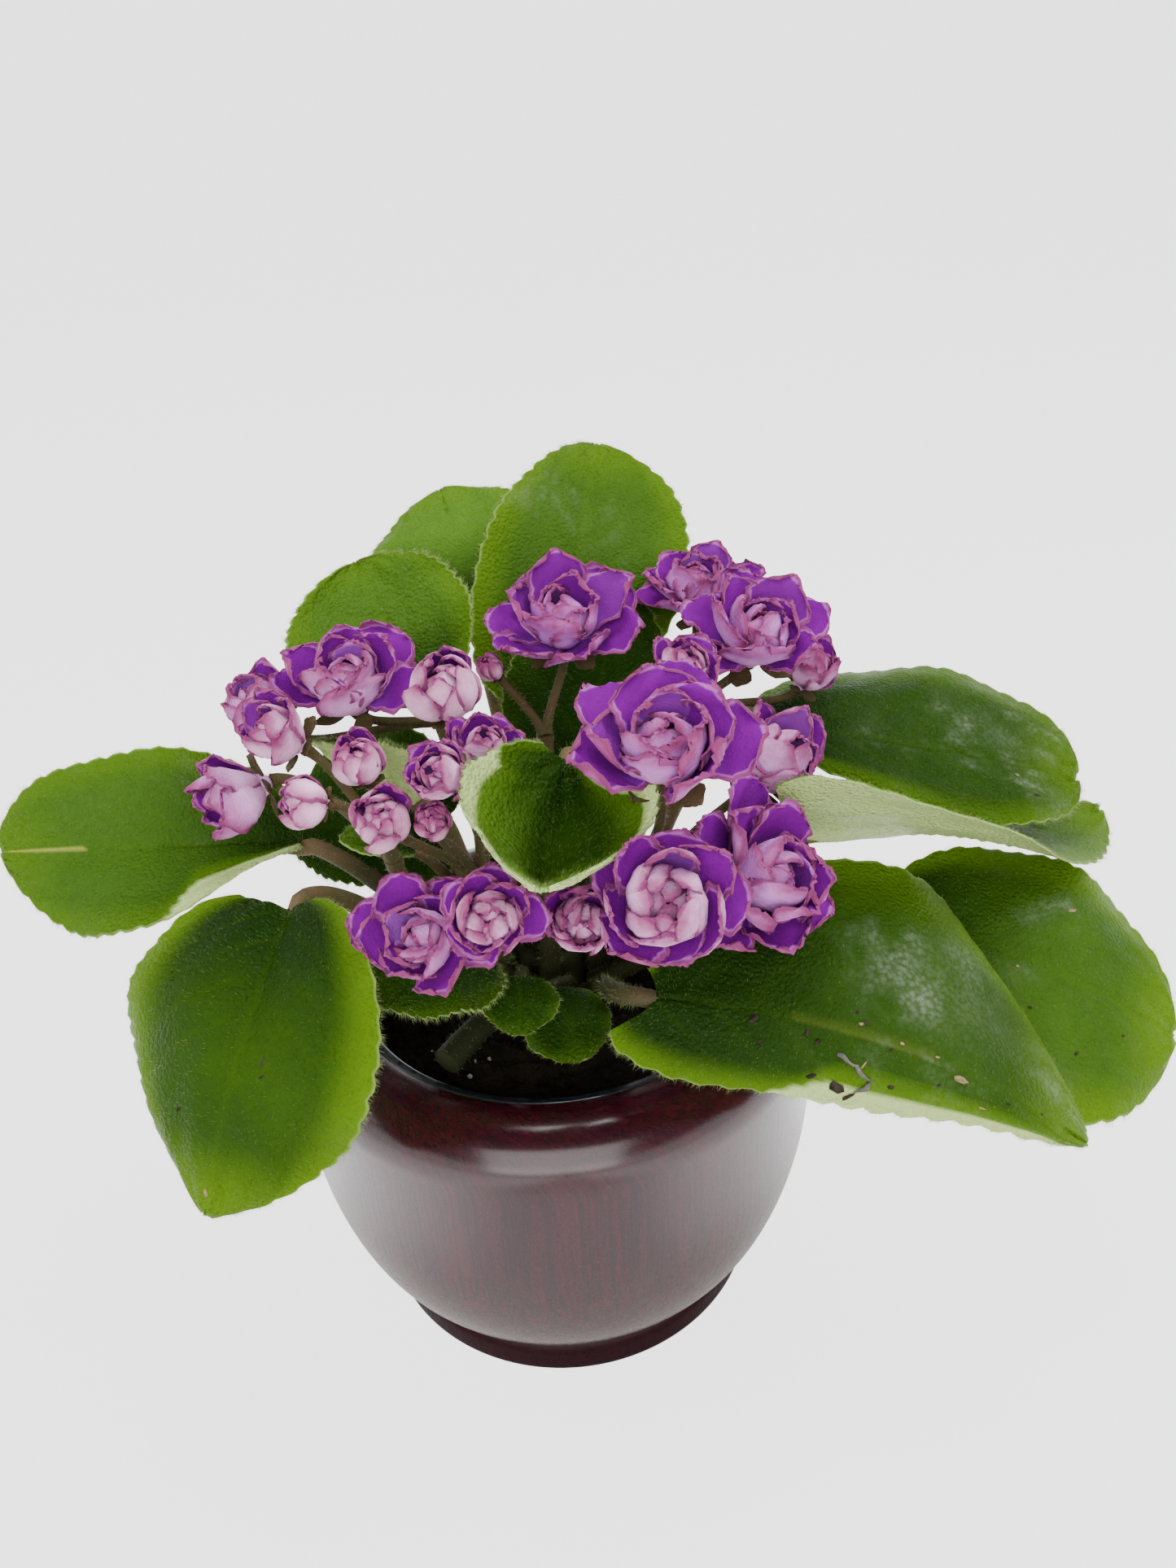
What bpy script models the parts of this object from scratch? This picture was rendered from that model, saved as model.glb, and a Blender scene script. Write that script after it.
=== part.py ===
"""A double-flowered african violet in its nursery pot, standing in a burgundy outer pot.

Lengths are in millimetres up to the last step, where each mesh is scaled to metres.
The plant faces -Y, the foot rests on z = 0 and both pots turn about the Z axis.
"""

import math

import bpy
import numpy as np

METRES = 0.001
SHARP_ANGLE = math.radians(40)
GAP = 0.3  # clearance between pieces that touch on the real plant

# Outer pot
POT_RADIUS = 69.0
POT_HEIGHT = 97.0
POT_WALL = 3.0
POT_FLOOR = 5.5
POT_SIDES = 34
FOOT_RADIUS = 53.5
FOOT_HEIGHT = 11.5
NECK_RADIUS = 50.8  # where the bowl meets the foot
BELLY_HEIGHT = 60.4
BELLY_ROUNDNESS = 1.72
SHOULDER_RADIUS = 12.0
THROAT_RADIUS = 53.6

# Nursery pot
NURSERY_RADIUS = 52.5
NURSERY_TOP = 95.8
NURSERY_BASE_RADIUS = 38.5
NURSERY_BASE = POT_FLOOR + GAP
NURSERY_WALL = 1.2
NURSERY_BAND = 7.3
NURSERY_SIDES = 26

# Soil and crown
SOIL_TOP = 85.0
HOLE_FLOOR = 70.0
CROWN_RADIUS = 9.0
CROWN_TOP = 103.0

# Leaves
LEAF_THICK = 1.1
LEAF_ROWS = 9
LEAF_COLUMNS = 4
LEAF_SPAN = (0.09, 0.96)  # the blade's first and last row, as parts of the midrib
OUTLINE_POWER = 0.62  # under 1 makes the outline fuller than a sine
WAVES = 2.6  # waves of the edge from base to tip
TEETH = 0.035  # how far every second edge point stands out, as a part of the width
RIB_DEPTH = 1.7  # midrib below the blade, at its base
SMALL_LEAF = 13  # half width under which a leaf is small
SMALL_LEAF_ROWS = 8
SMALL_PETIOLE = 0.6
PETIOLE_ROWS = 4
PETIOLE_RADIUS = 2.7
PETIOLE_END_RADIUS = 2.1
CUT_STALK = ((-6.6, -9.8, 91), (-9, -15, 98), (-18, -28, 101), (-26, -39, 99))
CUT_STALK_RADII = (2.6, 2.9, 3.1, 3.2, 3.3, 3.5)

# Blooms
PETAL_THICK = 0.7
PETAL_WIDEST = 0.62  # place of a petal's widest point along it
STEM_SIDES = 5
STEM_ROOT_RADIUS = 2.0
STEM_FORK_RADIUS = 1.7
STEM_RING = 5.2  # the trusses stand on a circle of this radius on the crown
PEDICEL_RADIUS = 1.1
KNOB_RADIUS = 2.6  # swelling where a truss forks
CORE_SHARE = 0.22  # core radius as a part of the bloom's
PETAL_SECTOR = 0.97 * math.pi / 5
BLOOM_DROP = 0.35  # how far the core sits behind the bloom's middle
CORE_SIDES = 10  # two facets for each of the five petals in a ring

COLOURS = {
    "glaze": ((0.055, 0.008, 0.010), 0.22),
    "black": ((0.006, 0.007, 0.010), 0.30),
    "soil": ((0.012, 0.009, 0.007), 0.95),
    "stem": ((0.20, 0.13, 0.075), 0.70),
    "leaf": ((0.035, 0.115, 0.010), 0.45),
    "petal": ((0.42, 0.14, 0.50), 0.65),
    "bud": ((0.62, 0.34, 0.46), 0.70),
}

# Each leaf: root = azimuth on the crown in degrees and height, joint = where the blade starts,
# tip, up = the side that the blade faces, bow = rise of the midrib, left and right as seen
# from the joint with the face up, lobe = how far the base reaches back, wave = height of the
# edge's waves, rise = how steeply the stalk leaves the crown.
# Each side: half width, place of the widest point along the midrib, forward sweep of the edge,
# rise in degrees at the base and at the tip, and curl in degrees at both.
LEAVES = {
    "leaf_left": dict(
        root=(178, 90), joint=(-58, 3, 136), tip=(-132, 4, 140), up=(0.0, -0.62, 0.78),
        bow=1, left=(27, 0.47, -0.03, 53, -3, 16, -16), right=(27, 0.43, 0.25, 9, 9, -13, -12),
        lobe=0.06, wave=1.6, rise=0.9),
    "leaf_front_left": dict(
        root=(210, 90), joint=(-55, -32, 142), tip=(-74, -78, 99), up=(0.0, -0.69, 0.72),
        bow=10, left=(30, 0.49, 0.04, 40, 0, -5, -15), right=(34, 0.34, -0.03, 1, -4, -19, -28),
        lobe=0.14, wave=1.6, rise=1.0),
    "leaf_back_left_cupped": dict(
        root=(122, 90), joint=(-24, 17, 166), tip=(-42, 44, 194), up=(0.04, -0.70, 0.72),
        bow=-1, left=(28, 0.52, 0.02, 10, 11, 15, 9), right=(22, 0.51, 0.02, 15, 12, 11, 10),
        lobe=0.16, wave=1.2, rise=1.6),
    "leaf_back_left": dict(
        root=(94, 90), joint=(-13, 48, 177), tip=(-20, 77, 202), up=(-0.13, -0.60, 0.79),
        bow=4, left=(23, 0.50, 0.01, 9, 4, -7, -10), right=(23, 0.51, 0.03, 9, 6, -7, -7),
        lobe=0.12, wave=1.2, rise=1.6),
    "leaf_back": dict(
        root=(72, 97.5), joint=(9, 31, 162), tip=(23, 76, 212), up=(0.0, -0.74, 0.67),
        bow=4, left=(27, 0.35, 0.06, 12, 8, 5, 4), right=(29, 0.51, 0.06, 7, 7, -5, -6),
        lobe=0.20, wave=1.2, rise=2.2),
    "leaf_centre_small": dict(
        root=(38, 97.5), joint=(8, 10, 134), tip=(26, 40, 185), up=(-0.05, -0.86, 0.5),
        bow=1, left=(24, 0.48, 0.0, 6, 5, 0, -6), right=(19, 0.50, 0.0, 6, 6, 0, -4),
        lobe=0.06, wave=0.8, rise=2.2),
    "leaf_low_left": dict(
        root=(150, 90), joint=(-27, 19, 126), tip=(-68, 23, 129), up=(0.0, -0.62, 0.78),
        bow=3, left=(16, 0.46, 0.0, 4, 2, -6, -8), right=(30, 0.46, 0.0, 6, 4, -2, -6),
        lobe=0.06, wave=1.0, rise=1.3),
    "leaf_right_back": dict(
        root=(14, 90), joint=(53, 6, 159), tip=(137, 2, 138), up=(0.10, -0.40, 0.91),
        bow=2, left=(33, 0.51, 0.15, 0, 10, -22, -6), right=(20, 0.60, 0.10, 8, 6, -8, -8),
        lobe=0.14, wave=1.4, rise=1.2),
    "leaf_right_folded": dict(
        root=(350, 97.5), joint=(51, -25, 146), tip=(152, 15, 120), up=(0.12, -0.46, 0.88),
        bow=-2, left=(10, 0.50, 0.15, -30, -20, -6, 0), right=(33, 0.25, 0.20, 84, 0, 5, -4),
        lobe=0.10, wave=1.0, rise=0.9),
    "leaf_right": dict(
        root=(344, 90), joint=(83, -17, 118), tip=(150, -41, 89), up=(0.10, -0.52, 0.85),
        bow=4, left=(33, 0.52, 0.05, 7, 9, -17, -12), right=(34, 0.56, 0.13, 6, 6, -16, -14),
        lobe=0.17, wave=1.8, rise=0.7),
    "leaf_front_right": dict(
        root=(314, 90), joint=(20, -54, 126), tip=(112, -76, 94), up=(0.17, -0.36, 0.89),
        bow=12, left=(46, 0.54, 0.0, 17, 2, -5, -19), right=(17, 0.32, -0.12, -15, -17, -25, -27),
        lobe=0.22, wave=1.2, rise=0.9),
    "leaf_centre_cupped": dict(
        root=(268, 97.5), joint=(7, -36, 176), tip=(-1, -79, 173), up=(0.11, -0.57, 0.82),
        bow=-9, left=(27, 0.59, 0.02, 53, 27, 26, 4), right=(23, 0.41, 0.03, 24, 14, 18, 10),
        lobe=0.08, wave=1.0, rise=3.5),
    "leaf_behind_buds": dict(
        root=(188, 97.5), joint=(-26, -8, 152), tip=(-51, -2, 167), up=(0.09, -0.23, 0.96),
        bow=-3, left=(18, 0.44, -0.03, 78, 58, 13, 8), right=(9, 0.45, 0.01, 12, 8, 6, 5),
        lobe=0.06, wave=1.0, rise=2.0),
    "leaf_under_left": dict(
        root=(220, 97.5), joint=(-14, -30, 122), tip=(-40, -53, 132), up=(0.0, -0.43, 0.90),
        bow=4, left=(14, 0.46, 0.02, 8, 4, -8, -10), right=(16, 0.45, 0.0, 8, 4, -8, -10),
        lobe=0.10, wave=1.0, rise=1.4),
    "leaf_under_small": dict(
        root=(244, 97.5), joint=(-7, -34, 118), tip=(-8, -49, 114), up=(0.0, -0.55, 0.84),
        bow=2, left=(9, 0.5, 0.0, 8, 4, -8, -10), right=(9, 0.5, 0.0, 8, 4, -8, -10),
        lobe=0.08, wave=0.6, rise=0.9),
    "leaf_under_right": dict(
        root=(292, 96.5), joint=(0, -27.5, 108.5), tip=(6, -49, 105), up=(0.03, -0.60, 0.80),
        bow=2, left=(11, 0.46, 0.02, -4, -6, -12, -14), right=(10.5, 0.55, 0.0, 4, 0, -10, -12),
        lobe=0.10, wave=0.8, rise=0.7),
    "leaf_young": dict(
        root=(164, 97.5), joint=(-30, -12, 141), tip=(-46, -17, 149), up=(0.0, -0.4, 0.9),
        bow=1, left=(6, 0.5, 0.0, 20, 15, 5, 5), right=(6, 0.5, 0.0, 20, 15, 5, 5),
        lobe=0.05, wave=0.4, rise=1.2),
}

# Rings of petals, from the outside in. Each ring: how many of its five places hold a petal,
# length and width as parts of the bloom's radius, the petal's slope from the bloom's axis at
# its root and at its tip in degrees, cup, cells along it.
OPEN = (
    (5, 0.82, 1.20, 58, 96, 0.10, 3),
    (5, 0.70, 1.04, 34, 46, 0.26, 2),
    (3, 0.52, 0.90, 24, -16, 0.30, 2),
)
ROSETTE = (
    (5, 0.82, 1.20, 62, 84, 0.12, 3),
    (5, 0.84, 1.05, 56, -24, 0.26, 2),
    (3, 0.62, 0.90, 46, -62, 0.30, 2),
)
HALF_OPEN = (
    (5, 1.00, 1.10, 50, 4, 0.26, 2),
    (3, 0.84, 0.95, 40, -44, 0.26, 2),
)
CLOSED = (
    (5, 1.55, 1.25, 82, -58, 0.20, 2),
    (3, 1.20, 1.05, 62, -76, 0.20, 2),
)

# Each bloom: centre, the way it faces, radius, rings, truss that carries it, seed.
BLOOMS = {
    "bloom_back_centre": ((9, 10, 188), (-0.05, -0.42, 0.90), 19, OPEN, "b", 11),
    "bloom_back_right": ((43.5, 31, 186), (-0.10, -0.25, 0.96), 16, OPEN, "c", 12),
    "bloom_right": ((52, -5, 187), (0.14, -0.45, 0.88), 18, OPEN, "c", 13),
    "bloom_centre": ((24, -59, 191), (-0.04, -0.46, 0.88), 18.5, OPEN, "d", 14),
    "bloom_right_half": ((54, -22, 164.5), (0.50, -0.35, 0.80), 15.5, HALF_OPEN, "d", 15),
    "bloom_front_rosette": ((22.5, -72, 165.5), (-0.05, -0.80, 0.60), 15, ROSETTE, "d", 16),
    "bloom_front_right": ((46.5, -51.5, 151), (0.62, -0.60, 0.50), 20, OPEN, "d", 17),
    "bloom_front_left": ((-24.5, -59, 150.5), (-0.25, -0.80, 0.50), 14.5, OPEN, "a", 18),
    "bloom_front": ((-11, -68, 160), (0.05, -0.85, 0.50), 10.5, ROSETTE, "a", 19),
    "bloom_front_low": ((7, -58, 150.5), (0.05, -0.80, 0.45), 12, HALF_OPEN, "d", 20),
    "bloom_left": ((-41, -1, 181), (-0.10, -0.34, 0.93), 18, OPEN, "e", 21),
    "bloom_left_half": ((-54, -20, 178), (-0.60, -0.35, 0.70), 12, HALF_OPEN, "f", 22),
    "bloom_left_bell": ((-66, -18, 163), (-0.75, -0.40, -0.10), 14, HALF_OPEN, "f", 23),
    "bloom_left_back": ((-64, 8, 172), (-0.50, -0.10, 0.85), 13, HALF_OPEN, "e", 24),
    "bloom_centre_back": ((33, -22, 187), (0.00, -0.30, 0.95), 10.5, HALF_OPEN, "c", 25),
    "bloom_behind_leaf": ((-10.5, -28.5, 174.5), (0.00, -0.25, 0.97), 11, HALF_OPEN, "a", 26),
    "bloom_small_left": ((-18, -46.5, 179.5), (-0.50, -0.60, 0.60), 9.5, HALF_OPEN, "a", 27),
    "bloom_far_right": ((69, 10, 170), (0.45, -0.20, 0.80), 11, HALF_OPEN, "c", 28),
    "bud_large": ((-18.5, -12, 180.5), (-0.05, -0.30, 0.95), 10.8, CLOSED, "e", 31),
    "bud_left": ((-46, -38, 171), (-0.70, -0.30, 0.30), 7, CLOSED, "f", 33),
}

# Each small bud: centre, the way it faces, radius, length, truss.
BUDS = {
    "bud_upper": ((-37, -28, 175), (-0.25, -0.20, 0.95), 5.2, 13, "f"),
    "bud_front": ((-31, -50, 173), (-0.15, -0.60, 0.75), 6.6, 13, "a"),
    "bud_low": ((-21, -49, 171), (0.00, -0.40, 0.60), 3.8, 8, "a"),
    "bud_centre": ((-9, 10, 177), (-0.50, -0.20, 0.80), 3.4, 7.5, "b"),
}

# Each truss: azimuth of its root on the crown, then the fork where the flower stalks part.
TRUSSES = {
    "a": (243, (-13, -36, 146)),
    "b": (85, (3, 6, 160)),
    "c": (25, (36, 4, 162)),
    "d": (305, (24, -36, 144)),
    "e": (150, (-12, 4, 163)),
    "f": (196, (-33, -26, 148)),
}
TRUSS_NAMES = {
    "a": "flower_stem_front_left",
    "b": "flower_stem_back",
    "c": "flower_stem_right",
    "d": "flower_stem_front_right",
    "e": "flower_stem_back_left",
    "f": "flower_stem_left",
}


def unit(vector):
    vector = np.asarray(vector, float)
    return vector / np.linalg.norm(vector, axis=-1, keepdims=True)


def material(kind):
    """The Principled material of this kind, made once."""
    found = bpy.data.materials.get(kind)
    if found:
        return found
    colour, roughness = COLOURS[kind]
    made = bpy.data.materials.new(kind)
    made.use_nodes = True
    shader = made.node_tree.nodes["Principled BSDF"]
    shader.inputs["Base Color"].default_value = (*colour, 1)
    shader.inputs["Roughness"].default_value = roughness
    shader.inputs["Metallic"].default_value = 0.0
    made.diffuse_color = (*colour, 1)
    return made


def add_object(name, points, faces, kind, collection=None):
    """A mesh object with its faces turned outward, scaled from millimetres to metres."""
    points = np.asarray(points, float)
    fans = [(f[0], f[k], f[k + 1]) for f in faces for k in range(1, len(f) - 1)]
    if np.linalg.det(points[np.array(fans)]).sum() < 0:
        faces = [tuple(reversed(face)) for face in faces]
    mesh = bpy.data.meshes.new(name)
    mesh.from_pydata((points * METRES).tolist(), [], [list(map(int, f)) for f in faces])
    mesh.materials.append(material(kind))
    mesh.shade_smooth()
    mesh.set_sharp_from_angle(angle=SHARP_ANGLE)
    made = bpy.data.objects.new(name, mesh)
    (collection or bpy.context.scene.collection).objects.link(made)
    return made


def fuse(name, pieces, kind):
    """Joins closed pieces in one mesh: a Boolean union on a collection, applied."""
    group = bpy.data.collections.new(name + "_pieces")
    bpy.context.scene.collection.children.link(group)
    base = add_object(name, *pieces[0], kind)
    for number, (points, faces) in enumerate(pieces[1:]):
        add_object(f"{name}_piece_{number}", points, faces, kind, group)
    union = base.modifiers.new("union", "BOOLEAN")
    union.operation = "UNION"
    union.operand_type = "COLLECTION"
    union.collection = group
    union.solver = "MANIFOLD"  # every piece is closed, and the exact solver leaves scraps here
    graph = bpy.context.evaluated_depsgraph_get()
    joined = bpy.data.meshes.new_from_object(base.evaluated_get(graph))
    base.modifiers.clear()
    base.data = joined
    joined.name = name
    for piece in list(group.objects):
        bpy.data.objects.remove(piece)
    bpy.data.collections.remove(group)
    return base


def lathe(profile, sides, ripple=None):
    """Points and faces of a profile of (radius, z) turned about Z; radius 0 makes a pole."""
    points = []
    rings = []
    for radius, z in profile:
        if radius < 1e-6:
            rings.append([len(points)] * sides)
            points.append((0, 0, z))
            continue
        rings.append(list(range(len(points), len(points) + sides)))
        for k in range(sides):
            angle = 2 * math.pi * k / sides
            lift = ripple(radius, z, angle) if ripple else 0
            points.append((radius * math.cos(angle), radius * math.sin(angle), z + lift))
    faces = []
    for below, above in zip(rings, rings[1:]):
        for k in range(sides):
            n = (k + 1) % sides
            face = [below[k], below[n], above[n], above[k]]
            face = [p for i, p in enumerate(face) if p != face[i - 1]]
            if len(face) > 2:
                faces.append(tuple(face))
    return points, faces


def shell(top, bottom):
    """A closed blade from two grids of points, split into triangles alike on both faces."""
    rows, columns = top.shape[:2]
    points = np.concatenate([top.reshape(-1, 3), bottom.reshape(-1, 3)])
    upper = np.arange(rows * columns).reshape(rows, columns)
    lower = upper + rows * columns
    faces = []
    for i in range(rows - 1):
        for j in range(columns - 1):
            for grid, turn in ((upper, 1), (lower, -1)):
                a, b = grid[i, j], grid[i, j + 1]
                c, d = grid[i + 1, j + 1], grid[i + 1, j]
                faces += [(a, b, c)[::turn], (a, c, d)[::turn]]
    border = [(i, 0) for i in range(rows)]
    border += [(rows - 1, j) for j in range(1, columns)]
    border += [(i, columns - 1) for i in range(rows - 2, -1, -1)]
    border += [(0, j) for j in range(columns - 2, 0, -1)]
    for here, there in zip(border, border[1:] + border[:1]):
        a, b = upper[here], upper[there]
        c, d = lower[there], lower[here]
        faces += [(a, b, c), (a, c, d)]
    return points, faces


def bezier(p0, p1, p2, p3, steps):
    """Points along a cubic curve, with its unit tangents."""
    t = np.linspace(0, 1, steps)[:, None]
    p0, p1, p2, p3 = (np.asarray(p, float) for p in (p0, p1, p2, p3))
    r = 1 - t
    place = r**3 * p0 + 3 * r * r * t * p1 + 3 * r * t * t * p2 + t**3 * p3
    slope = r * r * (p1 - p0) + 2 * r * t * (p2 - p1) + t * t * (p3 - p2)
    return place, unit(slope)


def tube(path, tangents, radii, sides):
    """A closed tube round a path."""
    side = unit(np.cross(tangents, (0.31, 0.22, 0.93)))
    rise = np.cross(side, tangents)
    angles = np.arange(sides) * 2 * math.pi / sides
    ring = np.cos(angles)[None, :, None] * side[:, None] + np.sin(angles)[None, :, None] * rise[:, None]
    points = path[:, None] + np.asarray(radii, float)[:, None, None] * ring
    rings = np.arange(len(path) * sides).reshape(-1, sides)
    faces = [tuple(rings[0][::-1]), tuple(rings[-1])]
    for below, above in zip(rings, rings[1:]):
        for k in range(sides):
            n = (k + 1) % sides
            faces.append((below[k], below[n], above[n], above[k]))
    return points.reshape(-1, 3), faces


def leaf_blade(leaf, s, v, thick):
    """Upper and lower face of a blade at s along the midrib and v across it, from -1 to 1.

    Each side's edge follows a rounded outline. A cross-section leaves the midrib at the
    side's rise and bends by its curl, and its outer end slides along by the sweep and lobe.
    """
    joint, tip, up = (np.asarray(leaf[key], float) for key in ("joint", "tip", "up"))
    length = np.linalg.norm(tip - joint)
    up = unit(up - np.dot(up, unit(tip - joint)) * unit(tip - joint))
    s = np.asarray(s, float)[:, None]
    v = np.asarray(v, float)[None, :]
    arch = 4 * s * (1 - s)
    midrib = joint + (tip - joint) * s + up * (leaf["bow"] * arch)
    ahead = unit((tip - joint) + up * (leaf["bow"] * 4 * (1 - 2 * s)))
    normal = unit(up - (ahead @ up)[:, None] * ahead)
    right = np.cross(ahead, normal)
    across = np.zeros((len(s), v.shape[1], 3))
    for sign, key in ((-1, "left"), (1, "right")):
        width, widest, sweep, rise0, rise1, curl0, curl1 = leaf[key]
        part = np.clip(v * sign, 0, 1)
        outline = np.sin(math.pi * s ** (math.log(0.5) / math.log(widest))) ** OUTLINE_POWER
        angle = np.radians(rise0 + (rise1 - rise0) * s + (curl0 + (curl1 - curl0) * s) * part)
        reach = width * outline * part
        slide = length * outline * (sweep * s - leaf["lobe"] * (1 - s) ** 3) * part**1.5
        wave = leaf["wave"] * np.sin(2 * math.pi * (WAVES * s + 0.21 * sign)) * part**2
        across += (reach * np.cos(angle))[..., None] * (sign * right[:, None])
        across += (reach * np.sin(angle) + wave * outline)[..., None] * normal[:, None]
        across += slide[..., None] * ahead[:, None]
    middle = midrib[:, None] + across
    du = np.gradient(middle, axis=0)
    dv = np.gradient(middle, axis=1)
    face = unit(np.cross(dv, du))
    if (face[len(s) // 2, v.shape[1] // 2] @ up) < 0:
        face = -face
    rib = RIB_DEPTH * (1 - s) ** 0.7 * np.clip(1 - 3.2 * np.abs(v), 0, 1)
    return middle + face * thick / 2, middle - face * (thick / 2 + rib)[..., None]


def is_small(leaf):
    return max(leaf["left"][0], leaf["right"][0]) < SMALL_LEAF


def petiole_radii(leaf, steps):
    """Radii of the stalk from the crown to the blade; a small leaf has a thin stalk."""
    share = SMALL_PETIOLE if is_small(leaf) else 1
    return share * np.linspace(PETIOLE_RADIUS, PETIOLE_END_RADIUS, steps)


def petiole_path(leaf, steps):
    """The stalk from the crown to the blade, leaving the crown outward and meeting the midrib."""
    azimuth, z = leaf["root"]
    out = np.array([math.cos(math.radians(azimuth)), math.sin(math.radians(azimuth)), 0])
    steep = leaf["rise"] / math.hypot(1, leaf["rise"])
    root = out * (CROWN_RADIUS + GAP + steep * petiole_radii(leaf, 2)[0] + 0.25) + (0, 0, z)
    joint, tip = np.asarray(leaf["joint"], float), np.asarray(leaf["tip"], float)
    reach = np.linalg.norm(joint - root)
    start = unit(out + (0, 0, leaf["rise"]))
    end = unit(tip - joint) + (0, 0, 0.35)
    end = unit(np.maximum(end, (-1, -1, -0.05)))
    return bezier(root, root + start * reach * 0.35, joint - end * reach * 0.22, joint, steps)


def make_leaf(name, leaf):
    """Blade and stalk as one shell, the stalk's rings drawn as an upper and a lower half."""
    rows = SMALL_LEAF_ROWS if is_small(leaf) else LEAF_ROWS
    s = 0.5 - 0.5 * np.cos(math.pi * np.linspace(*LEAF_SPAN, rows))
    v = np.linspace(-1, 1, LEAF_COLUMNS + 1)
    teeth = 1 + TEETH * (-1.0) ** np.arange(rows)
    top, bottom = leaf_blade(leaf, s, v, LEAF_THICK)
    centre = top.mean(axis=1, keepdims=True)
    for edge in (0, -1):
        top[:, edge] = centre[:, 0] + (top[:, edge] - centre[:, 0]) * teeth[:, None]
        bottom[:, edge] = centre[:, 0] + (bottom[:, edge] - centre[:, 0]) * teeth[:, None]
    path, tangents = petiole_path(leaf, PETIOLE_ROWS)
    up = np.asarray(leaf["up"], float)
    azimuth = math.radians(leaf["root"][0])
    lift = np.linspace(0, 1, PETIOLE_ROWS)[:, None]
    above = (1 - lift) * np.array([-math.cos(azimuth), -math.sin(azimuth), 1.2]) + lift * up
    above = unit(above - (above * tangents).sum(axis=1, keepdims=True) * tangents)
    side = np.cross(tangents, above)
    radius = petiole_radii(leaf, PETIOLE_ROWS)[:, None, None]
    around = math.pi * (1 - (np.arange(LEAF_COLUMNS + 1) + 0.5) / (LEAF_COLUMNS + 1))
    cosine, sine = np.cos(around)[None, :, None], np.sin(around)[None, :, None]
    stalk_top = path[:, None] + radius * (cosine * side[:, None] + sine * above[:, None])
    stalk_low = path[:, None] + radius * (cosine * side[:, None] - sine * above[:, None])
    points, faces = shell(np.concatenate([stalk_top, top]), np.concatenate([stalk_low, bottom]))
    return add_object(name, points, faces, "leaf")


def frame_of(facing):
    """Rows are the bloom's own axes in the world: two across it and one along it."""
    along = unit(facing)
    first = unit(np.cross((0, 0, 1) if abs(along[2]) < 0.95 else (0, 1, 0), along))
    return np.array([first, np.cross(along, first), along])


def petal_surface(radius, ring, jitter, s, v):
    """Middle surface of a petal: angle round the bloom's axis, distance from it and height.

    The petal's slope turns evenly from root to tip. Its outline swells to its widest at two
    thirds and rounds off, its edges rise by the cup and ripple, and it keeps inside its own
    fifth of the circle so that neighbours never cross.
    """
    _, length, width, slope0, slope1, cup, _ = ring
    length = radius * length * (1 + 0.08 * jitter[0])
    half = 0.5 * radius * width * (1 + 0.08 * jitter[1])
    slope0 = math.radians(slope0 + 5 * jitter[2])
    turn = math.radians(slope1 + 5 * jitter[2]) - slope0
    along = s * (1 - 0.10 * v**2)
    slope = slope0 + turn * along
    out = CORE_SHARE * radius + length * (math.cos(slope0) - np.cos(slope)) / turn
    high = length * (np.sin(slope) - math.sin(slope0)) / turn
    swell = 0.42 + 0.58 * np.sin(math.pi / 2 * np.clip(s / PETAL_WIDEST, 0, 1))
    half = half * swell * np.sqrt(1 - 0.62 * np.clip((s - PETAL_WIDEST) / (1 - PETAL_WIDEST), 0, 1) ** 2)
    wide = half / np.maximum(out, 0.5)
    spread = wide / (1 + (wide / PETAL_SECTOR) ** 6) ** (1 / 6)
    ripple = 0.035 * radius * s**2 * np.abs(v) * np.sin(math.pi * (1.5 * v + 2 * jitter[4]))
    lift = cup * half * v**2 * (0.4 + 0.6 * s) + ripple
    return spread * v, np.maximum(out - lift * np.cos(slope), 0.4), high + lift * np.sin(slope)


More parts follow.
